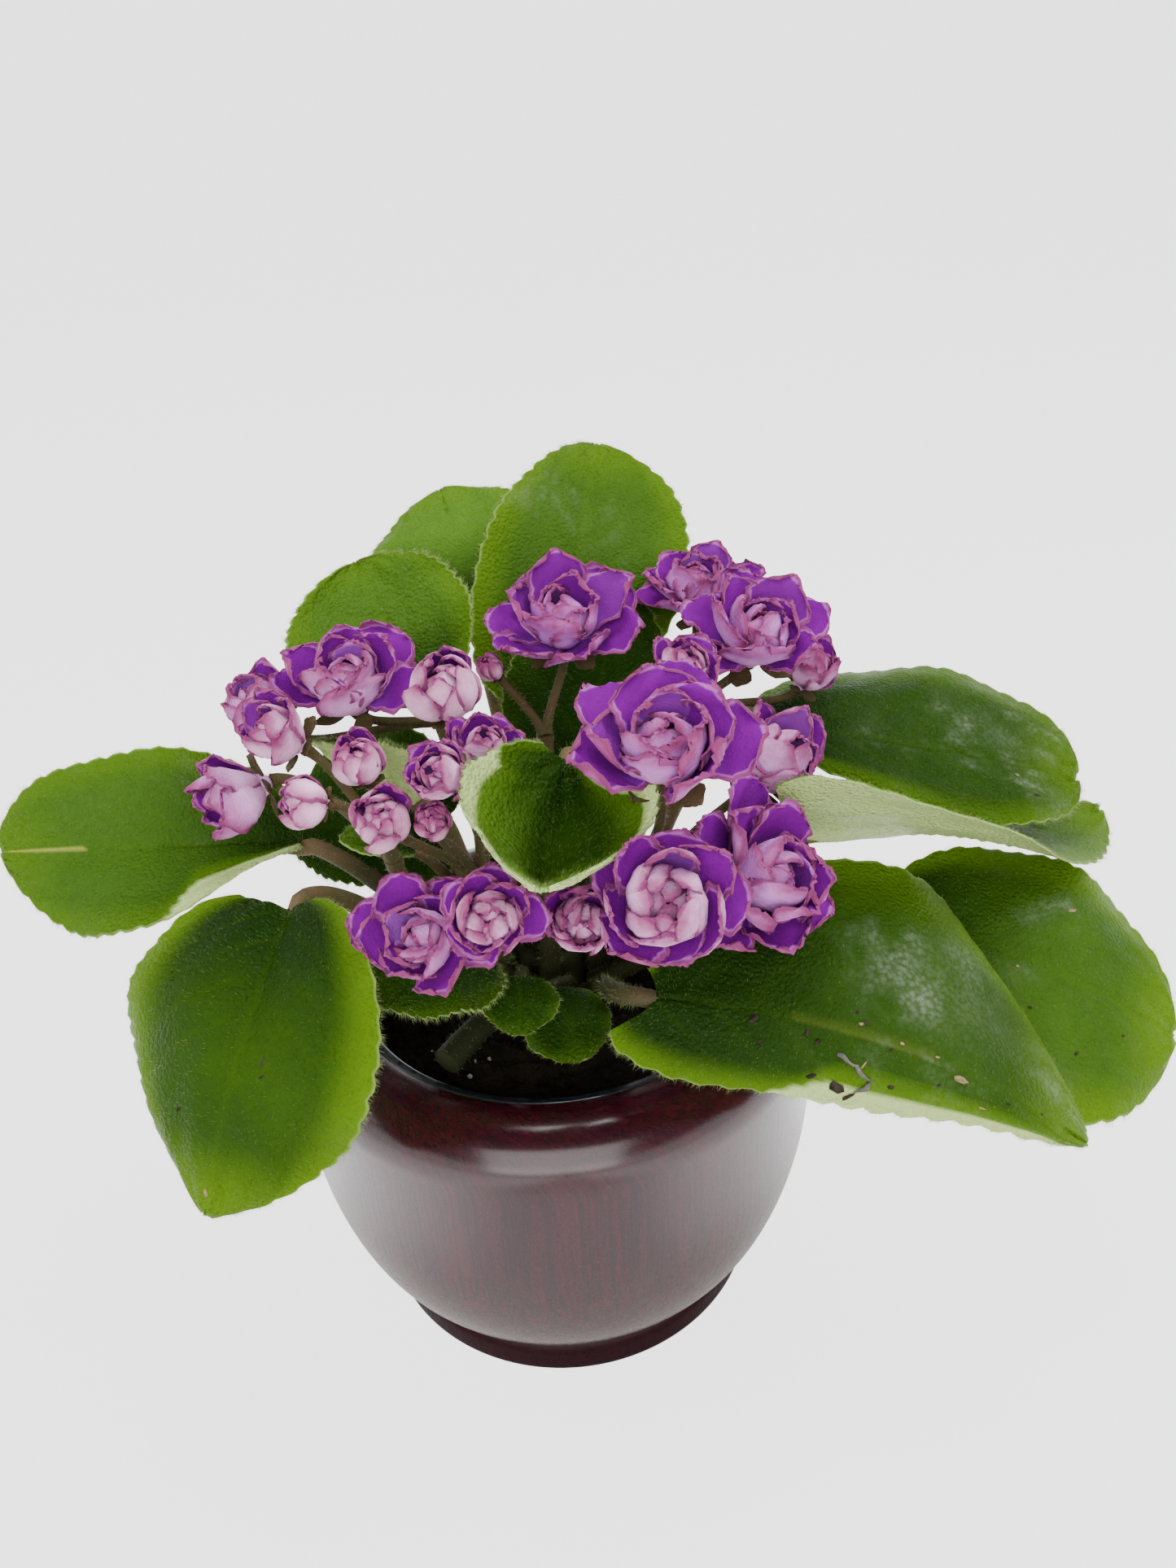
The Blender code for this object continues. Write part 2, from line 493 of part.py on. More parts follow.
def bloom_mesh(radius, rings, seed):
    """A double bloom grown from its core as one closed mesh, in its own frame.

    The core is a short ten-sided column. In each of its storeys every second facet carries a
    petal, whose shell takes the facet's outline as its root; the next storey is turned by one
    facet, so that its petals stand over the gaps.
    """
    draw = np.random.default_rng(seed)
    core = CORE_SHARE * radius
    storey = max(0.8, 0.075 * radius)
    places = 2 * CORE_SIDES
    points = [(0, 0, -0.9 * core)]
    for level in range(len(rings) + 1):
        for k in range(places):
            angle = 2 * math.pi * k / places
            points.append((core * math.cos(angle), core * math.sin(angle), level * storey))
    points.append((0, 0, len(rings) * storey + 0.5 * core))

    def at(level, place):
        return 1 + level * places + place % places

    faces = [(0, at(0, k + 1), at(0, k)) for k in range(places)]
    top = len(rings)
    faces += [(len(points) - 1, at(top, k), at(top, k + 1)) for k in range(places)]
    for level, ring in enumerate(rings):
        skip = (1, 4) if ring[0] == 3 else ()
        holders = [2 * k + level % 2 for k in range(5) if k not in skip]
        for facet in range(CORE_SIDES):
            low = [at(level, 2 * facet - 1 + j) for j in range(3)]
            high = [at(level + 1, 2 * facet - 1 + j) for j in range(3)]
            if facet not in holders:
                faces += [(low[j], low[j + 1], high[j + 1], high[j]) for j in range(2)]
                continue
            jitter = draw.uniform(-1, 1, 6)
            cells = ring[6]
            s = np.linspace(0, 1, cells + 1)[1:, None]
            v = np.array([[-1.0, 0.0, 1.0]])
            angle, out, lift = petal_surface(radius, ring, jitter, s, v)
            angle = angle + 2 * math.pi * facet / CORE_SIDES
            middle = np.stack(np.broadcast_arrays(
                out * np.cos(angle), out * np.sin(angle), lift + (level + 0.5) * storey), axis=-1)
            root = (np.array(points)[low] + np.array(points)[high]) / 2
            whole = np.concatenate([root[None], middle])
            inner = unit(np.cross(np.gradient(whole, axis=0), np.gradient(whole, axis=1)))[1:]
            rows = [np.array(high)], [np.array(low)]
            for row, lean in zip(middle, inner):
                for grid, side in zip(rows, (0.5, -0.5)):
                    grid.append(np.arange(len(points), len(points) + 3))
                    points.extend((row + lean * side * PETAL_THICK).tolist())
            upper, lower = rows
            for i in range(cells):
                for j in range(2):
                    faces.append((lower[i][j], lower[i][j + 1], lower[i + 1][j + 1]))
                    faces.append((lower[i][j], lower[i + 1][j + 1], lower[i + 1][j]))
                    faces.append((upper[i][j], upper[i + 1][j + 1], upper[i][j + 1]))
                    faces.append((upper[i][j], upper[i + 1][j], upper[i + 1][j + 1]))
                faces.append((lower[i][0], lower[i + 1][0], upper[i + 1][0], upper[i][0]))
                faces.append((lower[i + 1][2], lower[i][2], upper[i][2], upper[i + 1][2]))
            for j in range(2):
                faces.append((lower[-1][j], lower[-1][j + 1], upper[-1][j + 1], upper[-1][j]))
    return np.array(points), faces


def make_bloom(name, centre, facing, radius, rings, seed):
    """A bloom set with its middle at the centre, its root just above its flower stalk."""
    points, faces = bloom_mesh(radius, rings, seed)
    points = (points - (0, 0, BLOOM_DROP * radius)) @ frame_of(facing) + centre
    return add_object(name, points, faces, "bud" if rings is CLOSED else "petal")


def make_bud(name, centre, facing, radius, length):
    """A closed bud: an egg with five twisted folds where its petals overlap."""
    heights = np.array([-0.5, -0.36, -0.1, 0.18, 0.4, 0.5])
    sizes = np.array([0.35, 0.82, 1.0, 0.86, 0.45, 0.12])
    sides = 10
    angles = 2 * math.pi * np.arange(sides) / sides
    rings = []
    for height, size in zip(heights, sizes):
        fold = 1 + 0.09 * np.cos(5 * angles + 2 * height)
        rings.append(np.stack([
            radius * size * fold * np.cos(angles),
            radius * size * fold * np.sin(angles),
            np.full(sides, height * length),
        ], axis=-1))
    points = np.concatenate(rings) @ frame_of(facing) + centre
    index = np.arange(len(points)).reshape(-1, sides)
    faces = [tuple(index[0][::-1]), tuple(index[-1])]
    for below, above in zip(index, index[1:]):
        for k in range(sides):
            n = (k + 1) % sides
            faces.append((below[k], below[n], above[n], above[k]))
    return add_object(name, points, faces, "bud")


def carried(truss):
    """Where each flower stalk of a truss ends, which way it points and how wide its calyx is."""
    ends = []
    for centre, facing, radius, _, owner, _ in BLOOMS.values():
        if owner == truss:
            depth = (BLOOM_DROP + 0.9 * CORE_SHARE) * radius + GAP
            ends.append((np.asarray(centre) - unit(facing) * depth, unit(facing), 0.13 * radius))
    for centre, facing, radius, length, owner in BUDS.values():
        if owner == truss:
            depth = 0.5 * length + GAP
            ends.append((np.asarray(centre) - unit(facing) * depth, unit(facing), 0.4 * radius))
    return ends


def make_truss(name, key):
    """The main stalk from the crown, a knob at its fork and a stalk from there to each bloom."""
    azimuth, fork = TRUSSES[key]
    out = np.array([math.cos(math.radians(azimuth)), math.sin(math.radians(azimuth)), 0])
    root = out * STEM_RING + (0, 0, CROWN_TOP + GAP)
    fork = np.asarray(fork, float)
    reach = np.linalg.norm(fork - root)
    path, slope = bezier(root, root + (0, 0, 0.4 * reach), fork - (0, 0, 0.3 * reach), fork, 6)
    pieces = [tube(path, slope, np.linspace(STEM_ROOT_RADIUS, STEM_FORK_RADIUS, 6), STEM_SIDES)]
    knob = [(0, -1.1), (0.85, -0.5), (0.85, 0.5), (0, 1.1)]
    points, faces = lathe([(r * KNOB_RADIUS, z * KNOB_RADIUS) for r, z in knob], 6)
    pieces.append((np.array(points) + fork, faces))
    for end, facing, calyx in carried(key):
        gap = np.linalg.norm(end - fork)
        away = unit(unit(end - fork) + slope[-1] * 0.5)
        start = fork + away * 0.6
        path, bend = bezier(start, start + away * gap * 0.35, end - facing * gap * 0.25, end, 4)
        radii = PEDICEL_RADIUS * np.array([1.1, 1, 1, 1.2])
        radii[-1] = max(calyx, radii[-1])
        pieces.append(tube(path, bend, radii, STEM_SIDES))
    return fuse(name, pieces, "stem")


def make_outer_pot():
    belly = BELLY_HEIGHT - FOOT_HEIGHT

    def bowl(z):
        t = (BELLY_HEIGHT - z) / belly
        return NECK_RADIUS + (POT_RADIUS - NECK_RADIUS) * (1 - t**BELLY_ROUNDNESS) ** (1 / BELLY_ROUNDNESS)

    heights = (14, 19, 26, 36, 48, BELLY_HEIGHT)
    centre = POT_HEIGHT - SHOULDER_RADIUS
    outside = [(0, 0), (FOOT_RADIUS - 1, 0), (FOOT_RADIUS, 1), (FOOT_RADIUS - 0.4, 8.6)]
    outside += [(FOOT_RADIUS - 2.2, FOOT_HEIGHT - 1), (NECK_RADIUS, FOOT_HEIGHT)]
    outside += [(bowl(z), z) for z in heights]
    for degrees in (0, 25, 50, 72, 90, 120):
        angle = math.radians(degrees)
        round_r = POT_RADIUS - SHOULDER_RADIUS + SHOULDER_RADIUS * math.cos(angle)
        outside.append((round_r, centre + SHOULDER_RADIUS * math.sin(angle)))
    outside[-1] = (THROAT_RADIUS + 0.6, POT_HEIGHT - 2.2)
    inside = [(THROAT_RADIUS, POT_HEIGHT - 4), (THROAT_RADIUS, 87)]
    inside += [(POT_RADIUS - POT_WALL, 72)]
    inside += [(bowl(z) - POT_WALL, z) for z in (BELLY_HEIGHT, 36, 19)]
    inside += [(NECK_RADIUS - 5, POT_FLOOR), (0, POT_FLOOR)]
    return add_object("outer_pot", *lathe(outside + inside, POT_SIDES), "glaze")


def nursery_radius(z):
    """Outside radius of the tapered wall below the rim band."""
    top = NURSERY_TOP - NURSERY_BAND
    part = (z - NURSERY_BASE) / (top - NURSERY_BASE)
    return NURSERY_BASE_RADIUS + (NURSERY_RADIUS - 2 - NURSERY_BASE_RADIUS) * part


def make_nursery_pot():
    band = NURSERY_TOP - NURSERY_BAND
    profile = [(0, NURSERY_BASE), (NURSERY_BASE_RADIUS - 1, NURSERY_BASE)]
    profile += [(nursery_radius(NURSERY_BASE + 1), NURSERY_BASE + 1), (nursery_radius(band), band)]
    profile += [(NURSERY_RADIUS - 0.2, band), (NURSERY_RADIUS, NURSERY_TOP - 0.9)]
    profile += [(NURSERY_RADIUS - 0.6, NURSERY_TOP), (NURSERY_RADIUS - 1.6, NURSERY_TOP - 0.1)]
    profile += [(NURSERY_RADIUS - 2.2, NURSERY_TOP - 1.2)]
    floor = NURSERY_BASE + 2
    profile += [(nursery_radius(band) - NURSERY_WALL, band - 1)]
    profile += [(nursery_radius(floor) - NURSERY_WALL, floor), (0, floor)]
    return add_object("nursery_pot", *lathe(profile, NURSERY_SIDES), "black")


def make_soil():
    """Soil filling the nursery pot, crumbly on top, with a plain hole for the crown."""
    floor = NURSERY_BASE + 2 + GAP
    wall = NURSERY_WALL + 2 * GAP

    def crumbs(radius, z, angle):
        if z < SOIL_TOP - 2:
            return 0
        bumps = math.sin(5 * angle + radius) + math.sin(9 * angle - 0.7 * radius)
        return 0.7 * bumps + 1.5 * math.cos(0.06 * radius)

    profile = [(0, HOLE_FLOOR), (CROWN_RADIUS + GAP, HOLE_FLOOR), (CROWN_RADIUS + GAP, SOIL_TOP)]
    profile += [(18, SOIL_TOP), (29, SOIL_TOP), (40, SOIL_TOP)]
    profile += [(nursery_radius(SOIL_TOP) - wall, SOIL_TOP - 1.5)]
    profile += [(nursery_radius(floor) - wall, floor), (0, floor)]
    return add_object("soil", *lathe(profile, NURSERY_SIDES, crumbs), "soil")


def make_crown():
    """The short thick stem that every leaf and flower stalk starts from."""
    profile = [(0, HOLE_FLOOR + GAP), (CROWN_RADIUS - 1.5, HOLE_FLOOR + GAP)]
    profile += [(CROWN_RADIUS, 76), (CROWN_RADIUS, 100.6), (CROWN_RADIUS - 1.2, CROWN_TOP), (0, CROWN_TOP)]
    return add_object("crown", *lathe(profile, 14), "stem")


def make_cut_stalk():
    """What is left of a leaf that was cut off: a stalk with a flat end."""
    path, slope = bezier(*CUT_STALK, len(CUT_STALK_RADII))
    points, faces = tube(path, slope, CUT_STALK_RADII, 10)
    return add_object("cut_leaf_stalk", points, faces, "stem")


def main():
    for old in list(bpy.data.objects):
        bpy.data.objects.remove(old)
    make_outer_pot()
    make_nursery_pot()
    make_soil()
    make_crown()
    make_cut_stalk()
    for name, leaf in LEAVES.items():
        make_leaf(name, leaf)
    for name, (centre, facing, radius, rings, _, seed) in BLOOMS.items():
        make_bloom(name, centre, facing, radius, rings, seed)
    for name, (centre, facing, radius, length, _) in BUDS.items():
        make_bud(name, centre, facing, radius, length)
    for key, name in TRUSS_NAMES.items():
        make_truss(name, key)


if __name__ == "__main__":
    main()
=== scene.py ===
"""A double-flowered african violet in its nursery pot, standing in a burgundy outer pot.

Shapes are worked out in millimetres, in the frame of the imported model, and scaled to metres
when they go into a mesh. The plant faces -Y and the foot rests on z = 0.
"""

import math

import bpy
import numpy as np
from mathutils import Matrix, Vector
from bpy.props import FloatProperty, FloatVectorProperty, IntProperty, PointerProperty


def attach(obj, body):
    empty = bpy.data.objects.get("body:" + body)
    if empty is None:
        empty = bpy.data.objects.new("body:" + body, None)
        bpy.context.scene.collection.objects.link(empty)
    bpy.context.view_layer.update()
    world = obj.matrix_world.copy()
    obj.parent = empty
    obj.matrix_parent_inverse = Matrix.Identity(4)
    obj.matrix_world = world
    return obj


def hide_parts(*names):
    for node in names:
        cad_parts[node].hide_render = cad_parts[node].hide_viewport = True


bl_info = {
    "name": "Potted African Violet",
    "version": (1, 0, 0),
    "blender": (4, 5, 0),
    "location": "View3D > Sidebar > Violet",
    "description": "Dresses the packed violet with fine leaves, blooms, hairs, pots and a stage",
    "category": "Add Mesh",
}

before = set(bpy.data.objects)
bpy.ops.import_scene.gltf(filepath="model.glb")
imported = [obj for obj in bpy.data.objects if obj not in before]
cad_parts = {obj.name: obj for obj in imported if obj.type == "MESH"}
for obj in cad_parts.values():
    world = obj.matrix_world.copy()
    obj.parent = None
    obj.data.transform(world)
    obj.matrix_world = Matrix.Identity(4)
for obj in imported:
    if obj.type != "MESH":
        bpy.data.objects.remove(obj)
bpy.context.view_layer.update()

METRES = 0.001
GAP = 0.3

# Pots and soil, as in the solids
POT_RADIUS = 69.0
POT_HEIGHT = 97.0
POT_WALL = 3.0
POT_FLOOR = 5.5
FOOT_RADIUS = 53.5
FOOT_HEIGHT = 11.5
NECK_RADIUS = 50.8
BELLY_HEIGHT = 60.4
BELLY_ROUNDNESS = 1.72
SHOULDER_RADIUS = 12.0
THROAT_RADIUS = 53.6
NURSERY_RADIUS = 52.5
NURSERY_TOP = 95.8
NURSERY_BASE_RADIUS = 38.5
NURSERY_BASE = POT_FLOOR + GAP
NURSERY_WALL = 1.2
NURSERY_BAND = 7.3
SOIL_TOP = 85.0
HOLE_FLOOR = 70.0
CROWN_RADIUS = 9.0
CROWN_TOP = 103.0
CUT_STALK_RADII = (2.6, 2.9, 3.1, 3.2, 3.3, 3.5)
CUT_STALK = ((-6.6, -9.8, 91), (-9, -15, 98), (-18, -28, 101), (-26, -39, 99))

# Leaves and stalks
LEAF_SPAN = (0.09, 0.96)
OUTLINE_POWER = 0.62
WAVES = 2.6
RIB_DEPTH = 1.7
SMALL_LEAF = 13
PETIOLE_RADIUS = 2.7
PETIOLE_END_RADIUS = 2.1
SMALL_PETIOLE = 0.6
STEM_RING = 5.2
STEM_ROOT_RADIUS = 2.0
STEM_FORK_RADIUS = 1.7
PEDICEL_RADIUS = 1.1
KNOB_RADIUS = 2.6
DOWN_WIDTH = 0.045  # of the hairs on a blade, its margin, a stalk and a petal's rim
FRINGE_WIDTH = 0.07
STALK_HAIR_WIDTH = 0.06
RIM_HAIR_WIDTH = 0.055
STALK_HAIRS = 650

# Seeds of the random draws
LEAF_SEED = 40
HAIR_SEED = 300
DEBRIS_SEED = 900
STEM_SEED = 500
BUD_SEED = 60
SOIL_SEED = 7
STUMP_SEED = 5

# The photograph's camera: yaw, pitch and roll in degrees, place, focal length and picture height
CAMERA_TURN = (-2.87, 29.67, -3.01)
CAMERA_PLACE = (0, -0.2491, 0.2908)
FOCAL_PIXELS = 1447
PICTURE_PIXELS = 1927
SENSOR_HEIGHT = 36

# Blooms
CORE_SHARE = 0.22
SMALL_BLOOM = 13.5  # radius up to which petals have a coarser grid
BLOOM_DROP = 0.35
ROOT_SIDE = 20  # degrees that petals leave the core flatter on a bloom's lower side
TIP_SIDE = 28  # degrees that the tips of the upper side lie flatter
ROOT_FOLD = 0.38  # share of a lower petal's fold that its root already has
NEAR_SHORTER = 0.0022  # share of its length that a petal loses per degree of fold
OVERLAP = 0.17  # how far one edge of a petal stands over the other, as a part of its width

# The lightness in tone is partly a leaf's own tone and partly painted shade: leaves that lie in
# shade under others are given none.
# lit = one side painted lighter, as painted light: which side, where across it starts, and its
# lightness.
# Each leaf: root = azimuth on the crown in degrees and height, joint = where the blade starts,
# tip, up = the side that the blade faces, bow = rise of the midrib, left and right as seen
# from the joint with the face up, lobe = how far the base reaches back, wave = height of the
# edge's waves, rise = how steeply the stalk leaves the crown, tone = lightness, how yellow the
# margin is, and how white the down on its face is. A band of the margin is painted in the pale
# underside colour, as if it rolled over: turned = which side, from and to along the blade, and
# where across the band starts.
# A pale line on the midrib: line = from, to, strength.
# Each side: half width, place of the widest point along the midrib, forward sweep of the edge,
# rise in degrees at the base and at the tip, and curl in degrees at both.
LEAVES = {
    "leaf_left": dict(
        root=(178, 90), joint=(-58, 3, 136), tip=(-132, 4, 140), up=(0.0, -0.62, 0.78),
        bow=1, left=(27, 0.47, -0.03, 53, -3, 16, -16), right=(27, 0.43, 0.25, 9, 9, -13, -12),
        lobe=0.06, wave=1.6, rise=0.9, tone=(0.50, 0.50, 0.15),
        turned=((-1, 0.0, 0.42, 0.62),), line=(0.72, 1.0, 0.45)),
    "leaf_front_left": dict(
        root=(210, 90), joint=(-55, -32, 142), tip=(-74, -78, 99), up=(0.0, -0.69, 0.72),
        bow=10, left=(30, 0.49, 0.04, 40, 0, -5, -15), right=(34, 0.34, -0.03, 1, -4, -19, -28),
        lobe=0.14, wave=1.6, rise=1.0, tone=(0.14, 1.00, 0.05)),
    "leaf_back_left_cupped": dict(
        root=(122, 90), joint=(-24, 17, 166), tip=(-42, 44, 194), up=(0.04, -0.70, 0.72),
        bow=-1, left=(28, 0.52, 0.02, 10, 11, 15, 9), right=(22, 0.51, 0.02, 15, 12, 11, 10),
        lobe=0.16, wave=1.2, rise=1.6, tone=(0.68, 0.50, 0.80)),
    "leaf_back_left": dict(
        root=(94, 90), joint=(-13, 48, 177), tip=(-20, 77, 202), up=(-0.13, -0.60, 0.79),
        bow=4, left=(23, 0.50, 0.01, 9, 4, -7, -10), right=(23, 0.51, 0.03, 9, 6, -7, -7),
        lobe=0.12, wave=1.2, rise=1.6, tone=(0.95, 0.70, 0.30)),
    "leaf_back": dict(
        root=(72, 97.5), joint=(9, 31, 162), tip=(23, 76, 212), up=(0.0, -0.74, 0.67),
        bow=4, left=(27, 0.35, 0.06, 12, 8, 5, 4), right=(29, 0.51, 0.06, 7, 7, -5, -6),
        lobe=0.30, wave=1.2, rise=2.2, tone=(0.46, 0.70, 0.20)),
    "leaf_centre_small": dict(
        root=(38, 97.5), joint=(8, 10, 134), tip=(26, 40, 185), up=(-0.05, -0.86, 0.5),
        bow=1, left=(24, 0.48, 0.0, 6, 5, 0, -6), right=(19, 0.50, 0.0, 6, 6, 0, -4),
        lobe=0.06, wave=0.8, rise=2.2, tone=(0.00, 0.12, 0.05)),
    "leaf_low_left": dict(
        root=(150, 90), joint=(-27, 19, 126), tip=(-68, 23, 129), up=(0.0, -0.62, 0.78),
        bow=3, left=(16, 0.46, 0.0, 4, 2, -6, -8), right=(30, 0.46, 0.0, 6, 4, -2, -6),
        lobe=0.50, wave=1.0, rise=1.3, tone=(0.00, 0.12, 0.05)),
    "leaf_right_back": dict(
        root=(14, 90), joint=(53, 6, 159), tip=(137, 2, 138), up=(0.10, -0.40, 0.91),
        bow=2, left=(33, 0.51, 0.15, 0, 10, -22, -6), right=(20, 0.60, 0.10, 8, 6, -8, -8),
        lobe=0.14, wave=1.4, rise=1.2, tone=(0.08, 0.55, 0.28)),
    "leaf_right_folded": dict(
        root=(350, 97.5), joint=(51, -25, 146), tip=(152, 15, 120), up=(0.12, -0.46, 0.88),
        bow=-2, left=(10, 0.50, 0.15, -30, -20, -6, 0), right=(33, 0.25, 0.20, 84, 0, 5, -4),
        lobe=0.22, wave=1.0, rise=0.9, tone=(0.48, 0.70, 0.35)),
    "leaf_right": dict(
        root=(344, 90), joint=(83, -17, 118), tip=(150, -41, 89), up=(0.10, -0.52, 0.85),
        bow=4, left=(33, 0.52, 0.05, 7, 9, -17, -12), right=(34, 0.56, 0.13, 6, 6, -16, -14),
        lobe=0.17, wave=1.8, rise=0.7, tone=(0.42, 1.00, 0.20)),
    "leaf_front_right": dict(
        root=(314, 90), joint=(20, -54, 126), tip=(112, -76, 94), up=(0.17, -0.36, 0.89),
        bow=12, left=(48, 0.54, 0.0, 18, 2, -5, -19), right=(17, 0.32, -0.12, -15, -17, -25, -27),
        lobe=0.22, wave=1.2, rise=0.9, tone=(0.14, 0.85, 0.25),
        turned=((1, 0.42, 1.0, 0.66),), line=(0.30, 0.60, 0.05)),
    "leaf_centre_cupped": dict(
        root=(268, 97.5), joint=(7, -36, 176), tip=(-1, -79, 173), up=(0.11, -0.57, 0.82),
        bow=-9, left=(27, 0.59, 0.02, 53, 27, 26, 4), right=(23, 0.41, 0.03, 24, 14, 18, 10),
        lobe=0.08, wave=1.0, rise=3.5, tone=(0.00, 0.45, 0.10),
        turned=((1, 0.20, 1.1, 0.80), (-1, 0.20, 1.1, 0.88)), lit=(1, 0.22, 0.85)),
    "leaf_behind_buds": dict(
        root=(188, 97.5), joint=(-26, -8, 152), tip=(-51, -2, 167), up=(0.09, -0.23, 0.96),
        bow=-3, left=(18, 0.44, -0.03, 78, 58, 13, 8), right=(9, 0.45, 0.01, 12, 8, 6, 5),
        lobe=0.06, wave=1.0, rise=2.0, tone=(0.00, 0.12, 0.05)),
    "leaf_under_left": dict(
        root=(220, 97.5), joint=(-14, -30, 122), tip=(-40, -53, 132), up=(0.0, -0.43, 0.90),
        bow=4, left=(14, 0.46, 0.02, 8, 4, -8, -10), right=(16, 0.45, 0.0, 8, 4, -8, -10),
        lobe=0.10, wave=1.0, rise=1.4, tone=(0.00, 0.20, 0.08)),
    "leaf_under_small": dict(
        root=(244, 97.5), joint=(-7, -34, 118), tip=(-8, -49, 114), up=(0.0, -0.55, 0.84),
        bow=2, left=(9, 0.5, 0.0, 8, 4, -8, -10), right=(9, 0.5, 0.0, 8, 4, -8, -10),
        lobe=0.08, wave=0.6, rise=0.9, tone=(0.00, 0.20, 0.08)),
    "leaf_under_right": dict(
        root=(292, 96.5), joint=(0, -27.5, 108.5), tip=(6, -49, 105), up=(0.03, -0.60, 0.80),
        bow=2, left=(11, 0.46, 0.02, -4, -6, -12, -14), right=(10.5, 0.55, 0.0, 4, 0, -10, -12),
        lobe=0.10, wave=0.8, rise=0.7, tone=(0.00, 0.22, 0.10)),
    "leaf_young": dict(
        root=(164, 97.5), joint=(-30, -12, 141), tip=(-46, -17, 149), up=(0.0, -0.4, 0.9),
        bow=1, left=(6, 0.5, 0.0, 20, 15, 5, 5), right=(6, 0.5, 0.0, 20, 15, 5, 5),
        lobe=0.05, wave=0.4, rise=1.2, tone=(0.35, 0.40, 0.30)),
}

# Crumbs of peat and dry bits on the leaves: place along and across the blade, length, width,
# turn in degrees; the second list is dry and pale.
DEBRIS = {
    "leaf_front_left": ([
        (0.52, -0.20, 3.4, 0.7, 60), (0.56, -0.22, 1.8, 0.6, 20), (0.72, 0.42, 1.6, 0.8, -20),
        (0.34, 0.60, 0.7, 0.5, 0)], [(0.93, 0.05, 2.6, 0.8, 80)]),
    "leaf_front_right": ([
        (0.40, 0.62, 2.2, 1.4, 10), (0.46, 0.70, 3.4, 1.8, -30), (0.50, 0.78, 2.6, 1.5, 40),
        (0.36, 0.20, 2.4, 1.2, 15), (0.33, 0.12, 1.6, 1.0, 70), (0.26, 0.34, 1.4, 1.0, 0),
        (0.22, 0.10, 3.0, 1.4, 30), (0.44, -0.06, 1.6, 0.8, 0), (0.50, 0.06, 1.2, 0.8, 50),
        (0.31, -0.16, 1.0, 0.8, 0), (0.63, 0.30, 1.4, 0.7, 30), (0.78, 0.20, 1.2, 0.6, 10),
        (0.55, 0.52, 1.3, 0.9, 0), (0.86, 0.05, 0.9, 0.6, 0), (0.42, -0.10, 1.2, 0.7, 20)],
        [(0.66, 0.12, 3.4, 2.0, -10), (0.52, -0.02, 1.6, 1.0, 0), (0.43, -0.05, 1.3, 1.0, 30),
         (0.47, 0.35, 2.6, 0.5, 55), (0.60, -0.02, 1.2, 0.5, 10), (0.74, 0.45, 1.6, 0.6, 0)]),
    "leaf_right": ([
        (0.50, 0.35, 1.4, 0.8, 0), (0.66, 0.52, 1.6, 0.7, 40), (0.35, 0.66, 1.2, 0.8, 0),
        (0.80, 0.30, 1.0, 0.6, 0)], [(0.56, -0.52, 1.8, 1.0, 20), (0.44, 0.10, 1.3, 0.8, 0)]),
    "leaf_right_back": ([(0.80, 0.62, 2.2, 0.8, -10)], [(0.78, 0.25, 1.8, 0.7, -15)]),
}
DRY_ROOT = ("leaf_front_right", (
    (0.41, 0.30), (0.43, 0.34), (0.46, 0.36), (0.47, 0.44), (0.50, 0.50), (0.51, 0.60),
    (0.50, 0.70)))
ROOT_LIFT = (0.2, 0.5, 0.9, 0.7, 1.0, 0.6, 0.3)  # how far each knot stands off the leaf

# Rings of petals, from the outside in: petals in the ring, length and width as parts of the
# bloom's radius, slope from the bloom's axis at the root and at the tip in degrees, cup =
# half angle in degrees that the petal bends across, ruffle of its edge.
OPEN = (
    (6, 0.98, 0.86, 74, 66, 30, 0.070),
    (5, 0.92, 0.88, 60, 14, 44, 0.065),
    (5, 0.78, 0.80, 44, -20, 52, 0.040),
    (4, 0.66, 0.66, 36, -66, 56, 0.025),
)
ROSETTE = (
    (5, 0.98, 0.92, 74, 68, 28, 0.060),
    (5, 1.06, 0.96, 74, 6, 40, 0.045),
    (5, 1.10, 0.80, 72, -50, 54, 0.020),
    (5, 1.02, 0.66, 66, -80, 60, 0.012),
    (4, 0.80, 0.58, 50, -92, 60, 0.012),
)
HALF_OPEN = (
    (5, 1.10, 0.94, 66, 4, 40, 0.065),
    (5, 1.02, 0.88, 56, -36, 52, 0.045),
    (5, 0.92, 0.70, 46, -70, 60, 0.030),
)
CLOSED = (
    (5, 1.58, 1.10, 86, -52, 50, 0.050),
    (5, 1.56, 0.92, 80, -70, 56, 0.045),
    (5, 1.40, 0.70, 70, -88, 60, 0.040),
)
CALYX = (5, 0.42, 0.30, 96, 62, 30, 0.01)
# The knob in a bloom's middle: its profile, and masks that colour it like the back of a petal
KNOB = ((0, -0.95), (0.35, -0.9), (0.75, -0.55), (0.98, 0.0), (1.0, 0.5), (0.7, 0.95), (0, 1.15))
KNOB_MASK = (1, 1, 0.5, 0.45)

